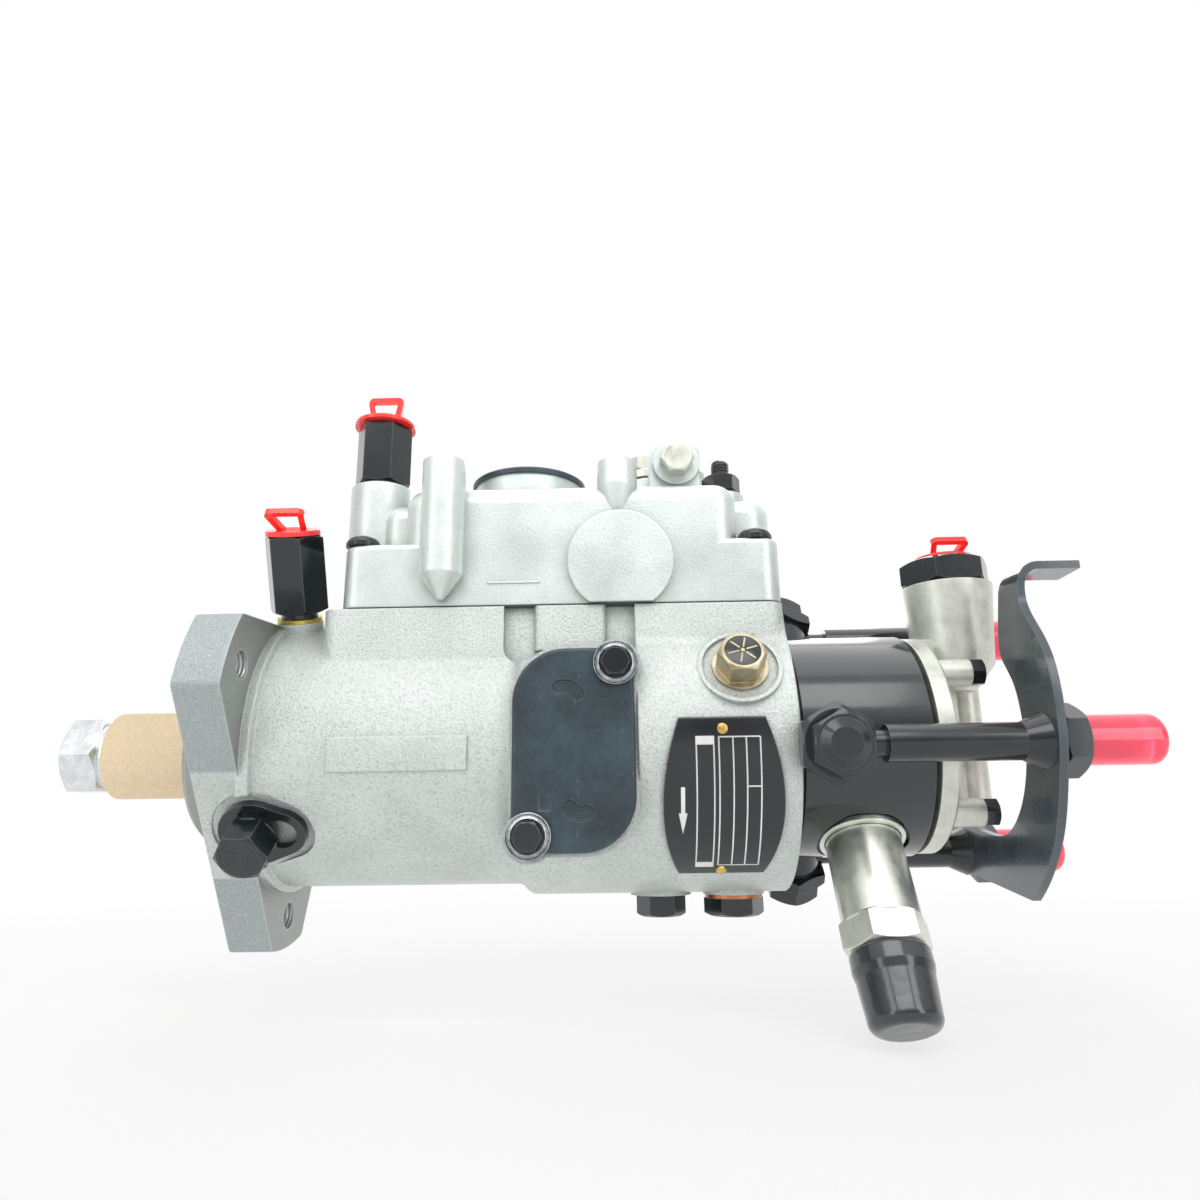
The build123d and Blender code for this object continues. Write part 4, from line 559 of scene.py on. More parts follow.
@dataclass(frozen=True)
class Rubber(Finish):
    """Black dipped rubber: a wet shine over soft unevenness."""

    tint: Colour = linear(28, 34, 38)
    rough: float = 0.22
    bloom: float = 9 * MM
    dent: float = 6 * MM
    grain: float = 0.8 * MM
    edge_radius: float = 0.8 * MM

    def make(self) -> bpy.types.Material:
        """Build the rubber.

        Returns:
            The material.
        """
        g = Graph(self.name)
        g.round_edges(self.edge_radius)
        bloom = g.noise(self.bloom, 5, 0.6)
        g.colour(g.ramp(bloom, (0.35, shade(self.tint, 0.8)), (0.75, shade(self.tint, 1.5))))
        g.roughness(g.span(bloom, self.rough - 0.05, self.rough + 0.12, 0.35, 0.75))
        g.set(specular_ior_level=0.6, coat_weight=0.7, coat_roughness=0.06)
        g.bump((g.noise(self.dent, 2), 0.9 * MM, 0.35), (g.noise(self.grain, 3), 0.03 * MM, 0.3))
        return g.material


@dataclass(frozen=True)
class Board(Finish):
    """Wound brown board: fibres along the turn over soft blotches."""

    tint: Colour = linear(242, 224, 192)
    fibre: Colour = linear(226, 200, 162)
    fibre_width: float = 0.9 * MM
    cloud: float = 7 * MM

    def make(self) -> bpy.types.Material:
        """Build the board.

        Returns:
            The material.
        """
        g = Graph(self.name)
        fibres = g.noise(self.fibre_width, 4, 0.7, g.stretched((3.2, 0.5, 0.5)))
        cloud = g.noise(self.cloud, 3)
        tone = g.ramp(fibres, (0.34, self.fibre), (0.62, self.tint))
        g.colour(g.mix(g.span(cloud, 0, 0.35, 0.45, 0.7), tone, shade(self.tint, 0.86)))
        g.set(roughness=0.82, specular_ior_level=0.25)
        g.bump((fibres, 0.08 * MM, 0.5))
        return g.material


class Surface(Enum):
    """Every finish on the pump."""

    HOUSING = CastAluminium("blasted_casting", "cast_housing", flange_end=14.6 * MM)
    COVER = CastAluminium(
        "fine_casting", "cast_cover", linear(224, 233, 229),
        grain=0.8 * MM, depth=0.1 * MM, gloss=0.34, speckle=0.2, metal=0.66,
    )
    END_PLATE = TurnedMetal(
        "brushed_plate", "machined_plate", linear(226, 228, 218), linear(202, 204, 194), 0.36, metal=0.55
    )
    ZINC = TurnedMetal("plated_steel", "zinc", linear(222, 224, 214), linear(198, 200, 186), 0.28)
    SOLENOID = TurnedMetal("solenoid_plating", "zinc", linear(232, 235, 226), linear(214, 219, 204), 0.33)
    BRIGHT = TurnedMetal("bright_plating", "bright_zinc", linear(236, 239, 240), linear(208, 212, 214), 0.2)
    CHROME = TurnedMetal("polished_steel", "bright_zinc", linear(206, 211, 214), linear(96, 104, 109), 0.16)
    YELLOW = TurnedMetal(
        "yellow_plating", "yellow_zinc", linear(204, 193, 166), linear(158, 146, 118), 0.32, metal=0.8
    )
    BRASS = TurnedMetal("brass", "yellow_zinc", linear(222, 188, 112), linear(172, 138, 76), 0.26)
    GROUND = TurnedMetal("ground_steel", "ground_steel", linear(206, 208, 210), linear(176, 180, 183), 0.22)
    INSPECTION = Paint(
        "speckled_black", "black_satin", linear(38, 51, 58), linear(150, 166, 172),
        rough=0.4, coat=0.12, peel=1 * MM, coat_rough=0.3, speckle=0.9 * MM, edge=0.35,
    )
    BRACKET = Paint(
        "bracket_black", "black_satin", linear(64, 75, 82), linear(146, 158, 164), rough=0.25, coat=0.6
    )
    HEAD = Paint(
        "head_black", "black_gloss", linear(15, 21, 26), linear(110, 122, 128),
        rough=0.2, coat=0.9, peel=2 * MM,
    )
    PLATE = Paint(
        "label_black", "black_plate", linear(10, 16, 24), linear(150, 158, 162),
        rough=0.26, coat=0.5, peel=3 * MM, edge=0.4,
    )
    DARK = Paint(
        "phosphated_steel", "dark_steel", linear(22, 29, 33), linear(120, 132, 137),
        rough=0.23, coat=0.6, metal=0.2,
    )
    TURNED_BLACK = Paint(
        "turned_black", "dark_steel", linear(20, 26, 31), linear(70, 80, 86), rough=0.3, coat=0.5, edge=0.25
    )
    PRINT = Paint(
        "white_print", "bright_zinc", linear(240, 240, 236), linear(240, 240, 238),
        rough=0.5, coat=0.1, edge=0.0,
    )
    GASKET = Paint("gasket_board", "gasket", linear(72, 78, 76), rough=0.7, coat=0.0, edge=0.0)
    WASHERS = Washers("soft_washers", "copper")
    PLUG = Moulding("red_moulding", "red_plug", linear(252, 52, 46), painted_glow=0.12)
    CAP = Moulding("clear_red_moulding", "red_cap", linear(255, 88, 116), clear=0.6, rough=0.14, painted_glow=0.18)
    RUBBER = Rubber("moulded_rubber", "rubber")
    BOARD = Board("wound_board", "cardboard")


NODE_SURFACES: dict[Surface, tuple[str, ...]] = {
    Surface.HOUSING: ("pump_housing",),
    Surface.COVER: ("governor_cover",),
    Surface.END_PLATE: ("end_plate",),
    Surface.INSPECTION: ("inspection_cover", "cover_cap"),
    Surface.BRACKET: ("outlet_bracket",),
    Surface.HEAD: ("hydraulic_head",),
    Surface.SOLENOID: ("stop_solenoid",),
    Surface.PLATE: ("nameplate",),
    Surface.BRIGHT: ("shaft_nut",),
    Surface.YELLOW: ("head_locking_screws",),
    Surface.DARK: (
        "leak_off_fitting", "vent_fitting", "inlet_adaptor", "outlet_bolts", "outlet_pipes",
        "outlet_nuts", "shaft_lock_screw", "lock_spacer", "locating_fitting", "cam_screw_plug",
        "cover_screws", "inspection_screws", "idle_stud", "end_plate_screws",
    ),
    Surface.WASHERS: ("sealing_washers",),
    Surface.PLUG: ("transit_plugs",),
    Surface.CAP: ("outlet_caps",),
    Surface.RUBBER: ("solenoid_boot", "oil_seals"),
    Surface.BOARD: ("shaft_sleeve",),
    Surface.GASKET: ("gaskets",),
    Surface.GROUND: (
        "drive_shaft", "shaft_key", "weight_retainer", "thrust_sleeve", "drive_plates", "cam_ring",
        "rotor", "plungers", "roller_shoes", "metering_valve", "transfer_liner", "transfer_rotor",
        "transfer_blades", "regulating_piston", "solenoid_plunger", "governor_spring",
        "flyweight_1", "flyweight_2", "flyweight_3", "flyweight_4",
    ),
    Surface.ZINC: (
        "lug_bolt", "throttle_lever", "throttle_nut", "throttle_shaft",
        "control_bracket", "governor_arm", "linkage_rod",
    ),
}


def dress(piece: bpy.types.Object, surface: Surface) -> None:
    """Give a piece one finish."""
    piece.data.materials.clear()
    piece.data.materials.append(surface.value.material())


def dress_solids() -> None:
    """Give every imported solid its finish."""
    for surface, names in NODE_SURFACES.items():
        for name in names:
            dress(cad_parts[name], surface)
            log.info("finish %s on %s", surface.name.lower(), name)


# ---------------------------------------------------------------- forms


def outward(x: float, angle: float, radius: float) -> Matrix:
    """Frame on the barrel: local z leaves the drive axis, local x is +X.

    Args:
        x: Place along the drive axis.
        angle: Angle round the drive axis.
        radius: Distance of the origin from the drive axis.

    Returns:
        The frame.
    """
    c, s = math.cos(math.radians(angle)), math.sin(math.radians(angle))
    turn = Matrix(((1, 0, 0), (0, s, c), (0, -c, s)))
    return Matrix.Translation((x, radius * c, radius * s)) @ turn.to_4x4()


def front(x: float, y: float, z: float) -> Matrix:
    """Frame on the nameplate side: local z is -Y, local x is +X, local y is +Z."""
    return Matrix.Translation((x, y, z)) @ Matrix(((1, 0, 0), (0, 0, -1), (0, 1, 0))).to_4x4()


def upright(x: float, y: float, z: float) -> Matrix:
    """Frame with local z up."""
    return Matrix.Translation((x, y, z))


def along(x: float, angle: float = 0.0, radius: float = 0.0) -> Matrix:
    """Frame whose local z is +X, on the drive axis or off it at an angle and a radius."""
    c, s = math.cos(math.radians(angle)), math.sin(math.radians(angle))
    turn = Matrix(((0, 0, 1), (1, 0, 0), (0, 1, 0)))
    return Matrix.Translation((x, radius * c, radius * s)) @ turn.to_4x4()


def steps(start: float, end: float, size: float) -> list[float]:
    """Give evenly spaced values from start to end, no further apart than a size."""
    count = max(1, math.ceil(abs(end - start) / size))
    return [start + (end - start) * i / count for i in range(count + 1)]


def circle(radius: float, z: float, sides: int) -> Ring:
    """Give evenly spaced points round local z."""
    turns = [math.tau * i / sides for i in range(sides)]
    return [(radius * math.cos(a), radius * math.sin(a), z) for a in turns]


def millimetres(*pairs: Flat) -> list[Flat]:
    """Give points that are written in millimetres in metres."""
    return [(first * MM, second * MM) for first, second in pairs]


class Form:
    """A mesh under construction, in one frame."""

    sharp_angle: float = math.radians(35)

    def __init__(self, name: str, place: Matrix = Matrix.Identity(4)) -> None:
        """Start an empty mesh.

        Args:
            name: The piece's name.
            place: Frame of the coordinates that follow.
        """
        self.name = name
        self.place = place
        self.mesh = bmesh.new()

    def at(self, place: Matrix) -> "Form":
        """Move the frame for what follows."""
        self.place = place
        return self

    def points(self, ring: Ring) -> list[bmesh.types.BMVert]:
        """Put points of the current frame into the mesh."""
        return [self.mesh.verts.new(self.place @ Vector(point)) for point in ring]

    def skin(self, rings: list[Ring], loop: bool = False, caps: bool = True) -> None:
        """Join closed rings of points with quads.

        Args:
            rings: Rings with the same number of points each.
            loop: Whether the last ring joins the first.
            caps: Whether open ends are filled.
        """
        rows = [self.points(ring) for ring in rings]
        count = len(rows[0])
        pairs = list(zip(rows, rows[1:])) + ([(rows[-1], rows[0])] if loop else [])
        for low, high in pairs:
            for i in range(count):
                j = (i + 1) % count
                self.mesh.faces.new((low[i], low[j], high[j], high[i]))
        if caps and not loop:
            self.mesh.faces.new(list(reversed(rows[0])))
            self.mesh.faces.new(rows[-1])

    def lathe(self, profile: list[Flat], sides: int = 48) -> None:
        """Turn a profile about local z.

        Args:
            profile: Radius and height of its corners; the last joins the first.
            sides: Number of facets round the turn.
        """
        turns = [math.tau * i / sides for i in range(sides)]
        self.skin([[(r * math.cos(a), r * math.sin(a), z) for r, z in profile] for a in turns], loop=True)

    def disc(self, radius: float, low: float, high: float, soft: float, sides: int) -> None:
        """Make a round plate with a softened rim.

        Args:
            radius: Its radius.
            low: Height of its back.
            high: Height of its face.
            soft: Size of the softened rim.
            sides: Number of facets round the rim.
        """
        bend = 0.3 * soft
        rim = ((radius, low), (radius, high - soft), (radius - bend, high - bend), (radius - soft, high))
        self.skin([circle(r, z, sides) for r, z in rim])

    def plate(self, outline: list[Flat], low: float, high: float, soft: float = 0.0) -> None:
        """Raise a flat outline with a softened top edge.

        Args:
            outline: Its corners, counter-clockwise.
            low: Height of its back.
            high: Height of its face.
            soft: How far the top edge is drawn in.
        """
        count = len(outline)
        middle = Vector((sum(p[0] for p in outline) / count, sum(p[1] for p in outline) / count))
        rings = [[(x, y, low) for x, y in outline], [(x, y, high - soft) for x, y in outline]]
        if soft:
            shrunk = [Vector(p) + (middle - Vector(p)).normalized() * soft for p in outline]
            rings.append([(inner.x, inner.y, high) for inner in shrunk])
        self.skin(rings)

    def bar(self, x0: float, x1: float, y0: float, y1: float, low: float, high: float, soft: float) -> None:
        """Raise a rectangle."""
        self.plate([(x0, y0), (x1, y0), (x1, y1), (x0, y1)], low, high, soft)

    def band(self, stations: list[Place], radius: float, height: float) -> None:
        """Lay a strip on a barrel about the drive axis.

        Args:
            stations: Angle and the strip's two limits along X, in order.
            radius: Barrel radius.
            height: Strip thickness.
        """
        low, high = radius, radius + height
        rings = []
        for angle, x0, x1 in stations:
            c, s = math.cos(math.radians(angle)), math.sin(math.radians(angle))
            rings.append([(x, r * c, r * s) for x, r in ((x0, low), (x0, high), (x1, high), (x1, low))])
        self.skin(rings)

    def helix(self, radius: float, pitch: float, length: float, depth: float, start: float) -> None:
        """Wind a thread ridge about local z.

        Args:
            radius: Radius of the screw or the hole.
            pitch: Rise of one turn.
            length: Length of the thread.
            depth: Height of the ridge, negative inside a hole.
            start: Height of the first turn.
        """
        per_turn, run_out, foot, land = 28, 10, 0.44, 0.07
        count = int(length / pitch * per_turn)
        rings = []
        for i in range(count + 1):
            turn = math.tau * i / per_turn
            z = start + pitch * i / per_turn
            ease = min(1.0, i / run_out, (count - i) / run_out)
            c, s = math.cos(turn), math.sin(turn)
            crest = radius + depth * max(0.05, ease)
            profile = ((radius, -foot), (crest, -land), (crest, land), (radius, foot))
            rings.append([(r * c, r * s, z + pitch * share) for r, share in profile])
        self.skin(rings)

    def teeth(self, inner: float, outer: float, count: int, low: float, high: float) -> None:
        """Raise a ring of small upright ridges.

        Args:
            inner: Radius of their feet.
            outer: Radius of their crests.
            count: How many there are.
            low: Height of their lower ends.
            high: Height of their upper ends.
        """
        crest = math.tau / count * 0.28
        foot = 1.6 * crest
        profile = ((inner, -foot), (outer, -crest), (outer, crest), (inner, foot))
        for i in range(count):
            turn = math.tau * i / count
            self.plate([(r * math.cos(turn + a), r * math.sin(turn + a)) for r, a in profile], low, high)

    def finish(self, surface: Surface, body: str, smooth: bool = True) -> bpy.types.Object:
        """Make the piece, dress it and let it ride on a body.

        Args:
            surface: Its finish.
            body: The body that it moves with.
            smooth: Whether shallow angles are shaded smooth.

        Returns:
            The piece.
        """
        bmesh.ops.recalc_face_normals(self.mesh, faces=self.mesh.faces)
        data = bpy.data.meshes.new(self.name)
        self.mesh.to_mesh(data)
        self.mesh.free()
        piece = bpy.data.objects.new(self.name, data)
        bpy.context.collection.objects.link(piece)
        if smooth:
            data.shade_smooth()
            data.set_sharp_from_angle(angle=self.sharp_angle)
        dress(piece, surface)
        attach(piece, body)
        log.info("piece %s rides on %s", self.name, body)
        return piece


# ---------------------------------------------------------------- sub-assemblies


@dataclass
class Nameplate:
    """Rules, blank fields, rotation arrow and rivets of the black plate."""

    radius: float = 48.33 * MM
    print_height: float = 0.06 * MM
    rule: float = 0.42 * MM
    columns: tuple[float, ...] = (155.7 * MM, 159.8 * MM, 163.7 * MM, 167.8 * MM)
    top: float = 181.0
    bottom: float = 230.6
    cross_angle: float = 198.0
    field_x: Flat = (148.9 * MM, 154.4 * MM)
    field_ends: tuple[Flat, Flat] = ((180.6, 183.6), (228.8, 231.6))
    arrow_x: float = 145.0 * MM
    arrow_angles: Place = (198.0, 207.4, 215.6)
    arrow_shaft: float = 0.62 * MM
    arrow_head: float = 1.3 * MM
    arrow_point: float = 0.001 * MM
    strip_step: float = 2.0
    arrow_step: float = 1.6
    rivets: tuple[Flat, ...] = ((156.9 * MM, 178.2), (156.9 * MM, 233.2))
    rivet_radius: float = 1.75 * MM
    rivet_height: float = 0.95 * MM

    def build(self) -> None:
        """Lay the print and set the rivets."""
        self.rules()
        self.fields()
        self.arrow()
        for number, (x, angle) in enumerate(self.rivets, 1):
            form = Form(f"nameplate_rivet_{number}", outward(x, angle, self.radius - 0.1 * MM))
            form.disc(self.rivet_radius, 0, self.rivet_height, 0.7 * MM, 24)
            form.disc(self.rivet_radius * 0.36, 0.9 * MM, 1.12 * MM, 0.1 * MM, 16)
            form.finish(Surface.BRASS, "pump")

    def strip(self, form: Form, start: float, end: float, x0: float, x1: float) -> None:
        """Print a straight strip between two angles and two places along X."""
        stations = [(angle, x0, x1) for angle in steps(start, end, self.strip_step)]
        form.band(stations, self.radius, self.print_height)

    def rules(self) -> None:
        """Draw the table's outline and column lines."""
        form = Form("nameplate_rules")
        half = self.rule / 2
        for x in self.columns:
            self.strip(form, self.top, self.bottom, x - half, x + half)
        spread = math.degrees(self.rule / self.radius)
        left, cross, right = self.columns[0], self.columns[2], self.columns[-1]
        for angle, start in ((self.top, left), (self.bottom, left), (self.cross_angle, cross)):
            self.strip(form, angle - spread / 2, angle + spread / 2, start, right)
        form.finish(Surface.PRINT, "pump", False)

    def fields(self) -> None:
        """Fill the ends of the blank field and frame its middle."""
        form = Form("nameplate_field")
        x0, x1 = self.field_x
        (first, upper), (lower, last) = self.field_ends
        for start, end in ((first, upper), (lower, last)):
            self.strip(form, start, end, x0, x1)
        for x in (x0, x1 - self.rule):
            self.strip(form, upper, lower, x, x + self.rule)
        form.finish(Surface.PRINT, "pump", False)

    def arrow(self) -> None:
        """Draw the arrow that gives the turning direction."""
        form = Form("nameplate_arrow")
        tail, neck, tip = self.arrow_angles
        x = self.arrow_x
        self.strip(form, tail, neck, x - self.arrow_shaft, x + self.arrow_shaft)
        stations = []
        for angle in steps(neck, tip, self.arrow_step):
            half = self.arrow_head * (tip - angle) / (tip - neck) + self.arrow_point
            stations.append((angle, x - half, x + half))
        form.band(stations, self.radius, self.print_height)
        form.finish(Surface.PRINT, "pump", False)


@dataclass
class InspectionCover:
    """The pressed plate: rolled edge, two kidney recesses, a stamped square and bright screw rims."""

    left: float = 95.3 * MM
    right: float = 131.5 * MM
    bottom: float = -33.0 * MM
    top: float = 26.3 * MM
    large_corner: float = 16.0 * MM
    small_corner: float = 5.5 * MM
    lug: float = 6.8 * MM
    back_y: float = -45.9 * MM
    face_y: float = -48.5 * MM
    roll: float = 1.1 * MM
    roll_steps: int = 5
    border: float = 0.3 * MM
    rays: int = 240
    reach: float = 50 * MM
    halvings: int = 30
    kidneys: tuple[tuple[Flat, Flat, Flat], ...] = (
        ((109.3 * MM, 14.5 * MM), (112.6 * MM, 15.3 * MM), (114.6 * MM, 12.4 * MM)),
        ((112.3 * MM, -20.3 * MM), (114.3 * MM, -23.0 * MM), (117.3 * MM, -21.7 * MM)),
    )
    kidney_half_width: float = 2.15 * MM
    kidney_floor: float = 0.8
    kidney_steps: int = 12
    kidney_end_step: float = 0.26
    kidney_far_end: Flat = (1.3, -1.3)
    kidney_near_end: Flat = (-1.84, -4.44)
    kidney_depth: float = 0.95 * MM
    square: tuple[float, float, float, float] = (103.2 * MM, 106.7 * MM, -21.2 * MM, -16.9 * MM)
    square_slope: float = 0.3 * MM
    square_depth: float = 0.3 * MM
    screws: tuple[Flat, ...] = ((126.1 * MM, 21.4 * MM), (100.4 * MM, -28.1 * MM))

    def build(self) -> None:
        """Make the plate in place of the plain one and set the screw rims."""
        form = Form("inspection_plate", front(0, 0, 0))
        self.wall(form)
        self.face(form)
        plate = form.finish(Surface.INSPECTION, "pump")
        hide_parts("inspection_cover")
        rims = Form("inspection_screw_rims")
        profile = millimetres(
            (4.9, 0.9), (6.3, 0.9), (6.7, 1.1), (6.75, 1.6), (6.55, 1.95),
            (6.3, 1.95), (5.95, 1.5), (5.3, 2.1), (4.9, 2.2),
        )
        for x, z in self.screws:
            rims.at(front(x, self.face_y, z)).lathe(profile, 64)
        rims.finish(Surface.CHROME, "pump")

    def distance(self, x: float, z: float) -> float:
        """Give the signed distance to the plate's outline, negative inside.

        Args:
            x: Place along the drive axis.
            z: Height.

        Returns:
            The distance.
        """
        mid_x, mid_z = (self.left + self.right) / 2, (self.bottom + self.top) / 2
        dx, dz = x - mid_x, z - mid_z
        corner = self.small_corner if dx * dz > 0 else self.large_corner
        out_x = abs(dx) - (self.right - self.left) / 2 + corner
        out_z = abs(dz) - (self.top - self.bottom) / 2 + corner
        body = math.hypot(max(out_x, 0), max(out_z, 0)) + min(max(out_x, out_z), 0) - corner
        return min([body] + [math.hypot(x - sx, z - sz) - self.lug for sx, sz in self.screws])

    def outline(self, inset: float) -> list[Flat]:
        """Find the outline, or one inside it, by halving along rays from the middle.

        Args:
            inset: Distance inside the outline.

        Returns:
            The points, counter-clockwise.
        """
        mid = ((self.left + self.right) / 2, (self.bottom + self.top) / 2)
        found = []
        for i in range(self.rays):
            c, s = math.cos(math.tau * i / self.rays), math.sin(math.tau * i / self.rays)
            near, far = 0.0, self.reach
            for _ in range(self.halvings):
                half = (near + far) / 2
                if self.distance(mid[0] + c * half, mid[1] + s * half) < -inset:
                    near = half
                else:
                    far = half
            found.append((mid[0] + c * near, mid[1] + s * near))
        return found

    def wall(self, form: Form) -> None:
        """Skin the edge from the back up to the rolled rim and a narrow flat border.

        Args:
            form: The plate's mesh.
        """
        rings = [[(x, z, -self.back_y) for x, z in self.outline(0)]]
        for i in range(self.roll_steps + 1):
            turn = math.pi / 2 * i / self.roll_steps
            inset = self.roll * (1 - math.cos(turn))
            height = -self.face_y - self.roll * (1 - math.sin(turn))
            rings.append([(x, z, height) for x, z in self.outline(inset)])
        rings.append([(x, z, -self.face_y) for x, z in self.outline(self.roll + self.border)])
        form.skin(rings, caps=False)

    def kidney(self, bend: tuple[Flat, Flat, Flat], half: float) -> list[Flat]:
        """Give the outline of a bent slot.

        Args:
            bend: Start, control and end points of its middle line.
            half: Half of its width.

        Returns:
            The points, clockwise.
        """
        (x0, z0), (x1, z1), (x2, z2) = bend
        line = []
        for i in range(self.kidney_steps + 1):
            t = i / self.kidney_steps
            x = (1 - t) ** 2 * x0 + 2 * t * (1 - t) * x1 + t * t * x2
            z = (1 - t) ** 2 * z0 + 2 * t * (1 - t) * z1 + t * t * z2
            turn = math.atan2((1 - t) * (z1 - z0) + t * (z2 - z1), (1 - t) * (x1 - x0) + t * (x2 - x1))
            line.append((x, z, turn))
        points = [(x - half * math.sin(a), z + half * math.cos(a)) for x, z, a in line]
        points += self.kidney_end(line[-1], half, self.kidney_far_end)
        points += [(x + half * math.sin(a), z - half * math.cos(a)) for x, z, a in reversed(line)]
        points += self.kidney_end(line[0], half, self.kidney_near_end)
        return points

    def kidney_end(self, end: Place, half: float, turns: Flat) -> list[Flat]:
        """Round one end of a bent slot.

        Args:
            end: The end of the middle line and the line's direction there, in radians.
            half: Half of the slot's width.
            turns: First and last turn from that direction, in radians.

        Returns:
            The points, clockwise.
        """
        x, z, ahead = end
        angles = [ahead + turn for turn in steps(*turns, self.kidney_end_step)]
        return [(x + half * math.cos(angle), z + half * math.sin(angle)) for angle in angles]

    def recesses(self) -> list[tuple[list[Flat], list[Flat], float]]:
        """List what is pressed into the face.

        Returns:
            The rim, the floor and the depth of each recess.
        """
        half = self.kidney_half_width
        found = [
            (self.kidney(bend, half), self.kidney(bend, half * self.kidney_floor), self.kidney_depth)
            for bend in self.kidneys
        ]
        x0, x1, z0, z1 = self.square
        rim = self.corners(x0, x1, z0, z1)
        slope = self.square_slope
        floor = self.corners(x0 + slope, x1 - slope, z0 + slope, z1 - slope)
        return found + [(rim, floor, self.square_depth)]

    def corners(self, x0: float, x1: float, z0: float, z1: float) -> list[Flat]:
        """Give the corners of a rectangle, clockwise."""
        return [(x0, z0), (x0, z1), (x1, z1), (x1, z0)]

    def face(self, form: Form) -> None:
        """Fill the face round the recesses and sink them.

        Args:
            form: The plate's mesh.
        """
        level = -self.face_y
        holes = self.recesses()
        loops = [self.outline(self.roll + self.border)] + [rim for rim, _, _ in holes]
        verts = form.points([(x, z, level) for loop in loops for x, z in loop])
        for a, b, c in tessellate_polygon([[Vector((x, z, 0)) for x, z in loop] for loop in loops]):
            form.mesh.faces.new((verts[a], verts[b], verts[c]))
        for rim, floor, depth in holes:
            sunk = [(x, z, level - depth) for x, z in floor]
            form.skin([[(x, z, level) for x, z in rim], sunk], caps=False)
            form.mesh.faces.new(form.points(sunk))
        bmesh.ops.remove_doubles(form.mesh, verts=form.mesh.verts, dist=0.001 * MM)


@dataclass
class LockingScrewTops:
    """Black-painted, ribbed tops of the head locking screws."""

    x: float = 164.0 * MM
    angles: Flat = (153.7, 26.3)
    top: float = 55.2 * MM
    turn: float = 17.0
    radius: float = 5.5 * MM
    ribs: int = 6
    rib_reach: Flat = (1.1 * MM, 4.7 * MM)
    rib_half_width: float = 0.26 * MM
    rib_height: float = 0.34 * MM
    hub_radius: float = 0.7 * MM

    def build(self) -> None:
        """Paint the tops and raise the ribs."""
        paint = Form("locking_screw_paint")
        ribs = Form("locking_screw_ribs")
        half = self.rib_half_width
        for angle in self.angles:
            place = outward(self.x, angle, self.top) @ Matrix.Rotation(math.radians(self.turn), 4, "Z")
            paint.at(place).disc(self.radius, -0.1 * MM, 0.12 * MM, 0.08 * MM, 40)
            for i in range(self.ribs):
                ribs.at(place @ Matrix.Rotation(math.tau * i / self.ribs, 4, "Z"))
                ribs.bar(*self.rib_reach, -half, half, 0, self.rib_height, 0.1 * MM)
            ribs.at(place).disc(self.hub_radius, 0, self.rib_height, 0.12 * MM, 16)
        paint.finish(Surface.DARK, "pump")
        ribs.finish(Surface.YELLOW, "pump")


@dataclass
class LockScrewFace:
    """Turned rings on the flat of the shaft lock screw's head."""

    x: float = 16.5 * MM
    angle: float = 217.0
    top: float = 55.58 * MM
    radius: float = 6.2 * MM
    rings: int = 5
    ring_width: float = 0.55 * MM
    crest: Flat = (0.15 * MM, 0.4 * MM)
    height: float = 0.07 * MM

    def build(self) -> None:
        """Raise the rings."""
        form = Form("lock_screw_rings", outward(self.x, self.angle, self.top))
        for i in range(self.rings):
            r = self.radius * (1 - i / self.rings)
            crest = [(r - inset, self.height) for inset in self.crest]
            form.lathe([(r - self.ring_width, 0), (r, 0)] + crest)
        form.finish(Surface.TURNED_BLACK, "pump")


@dataclass(frozen=True)
class Thread:
    """One thread ridge, or the same one in several holes."""

    name: str
    places: tuple[Matrix, ...]
    radius: float
    pitch: float
    length: float
    depth: float
    start: float
    surface: Surface
    body: str

    def build(self) -> None:
        """Wind the ridge at every place."""
        form = Form(self.name)
        for place in self.places:
            form.at(place).helix(self.radius, self.pitch, self.length, self.depth, self.start)
        form.finish(self.surface, self.body)


@dataclass
class Threads:
    """Threads on bare screw ends and in the stud holes."""

    stud: Place = (166.0 * MM, -5.0 * MM, 97.5 * MM)
    throttle_pin: Place = (139.5 * MM, 5.0 * MM, 109.4 * MM)
    shaft_end_x: float = -63.4 * MM
    hole_x: float = 1.0 * MM
    hole_angles: tuple[float, ...] = (35.0, 155.0, 275.0)
    hole_circle: float = 54.0 * MM

    def build(self) -> None:
        """Wind every thread."""
        stud, pin, shaft = (upright(*self.stud),), (upright(*self.throttle_pin),), (along(self.shaft_end_x),)
        holes = tuple(along(self.hole_x, angle, self.hole_circle) for angle in self.hole_angles)
        for name, places, sizes, surface, body in (
            ("idle_stud_thread", stud, (2.97, 1.1, 5.2, 0.34, 0.4), Surface.DARK, "pump"),
            ("throttle_pin_thread", pin, (3.47, 0.5, 0.6, 0.12, 0.1), Surface.ZINC, "throttle"),
            ("shaft_end_thread", shaft, (7.96, 0.7, 0.9, 0.25, 0.2), Surface.GROUND, "drive_train"),
            ("stud_hole_threads", holes, (4.28, 1.25, 11.6, -0.3, 0.6), Surface.GROUND, "pump"),
        ):
            Thread(name, places, *(size * MM for size in sizes), surface, body).build()


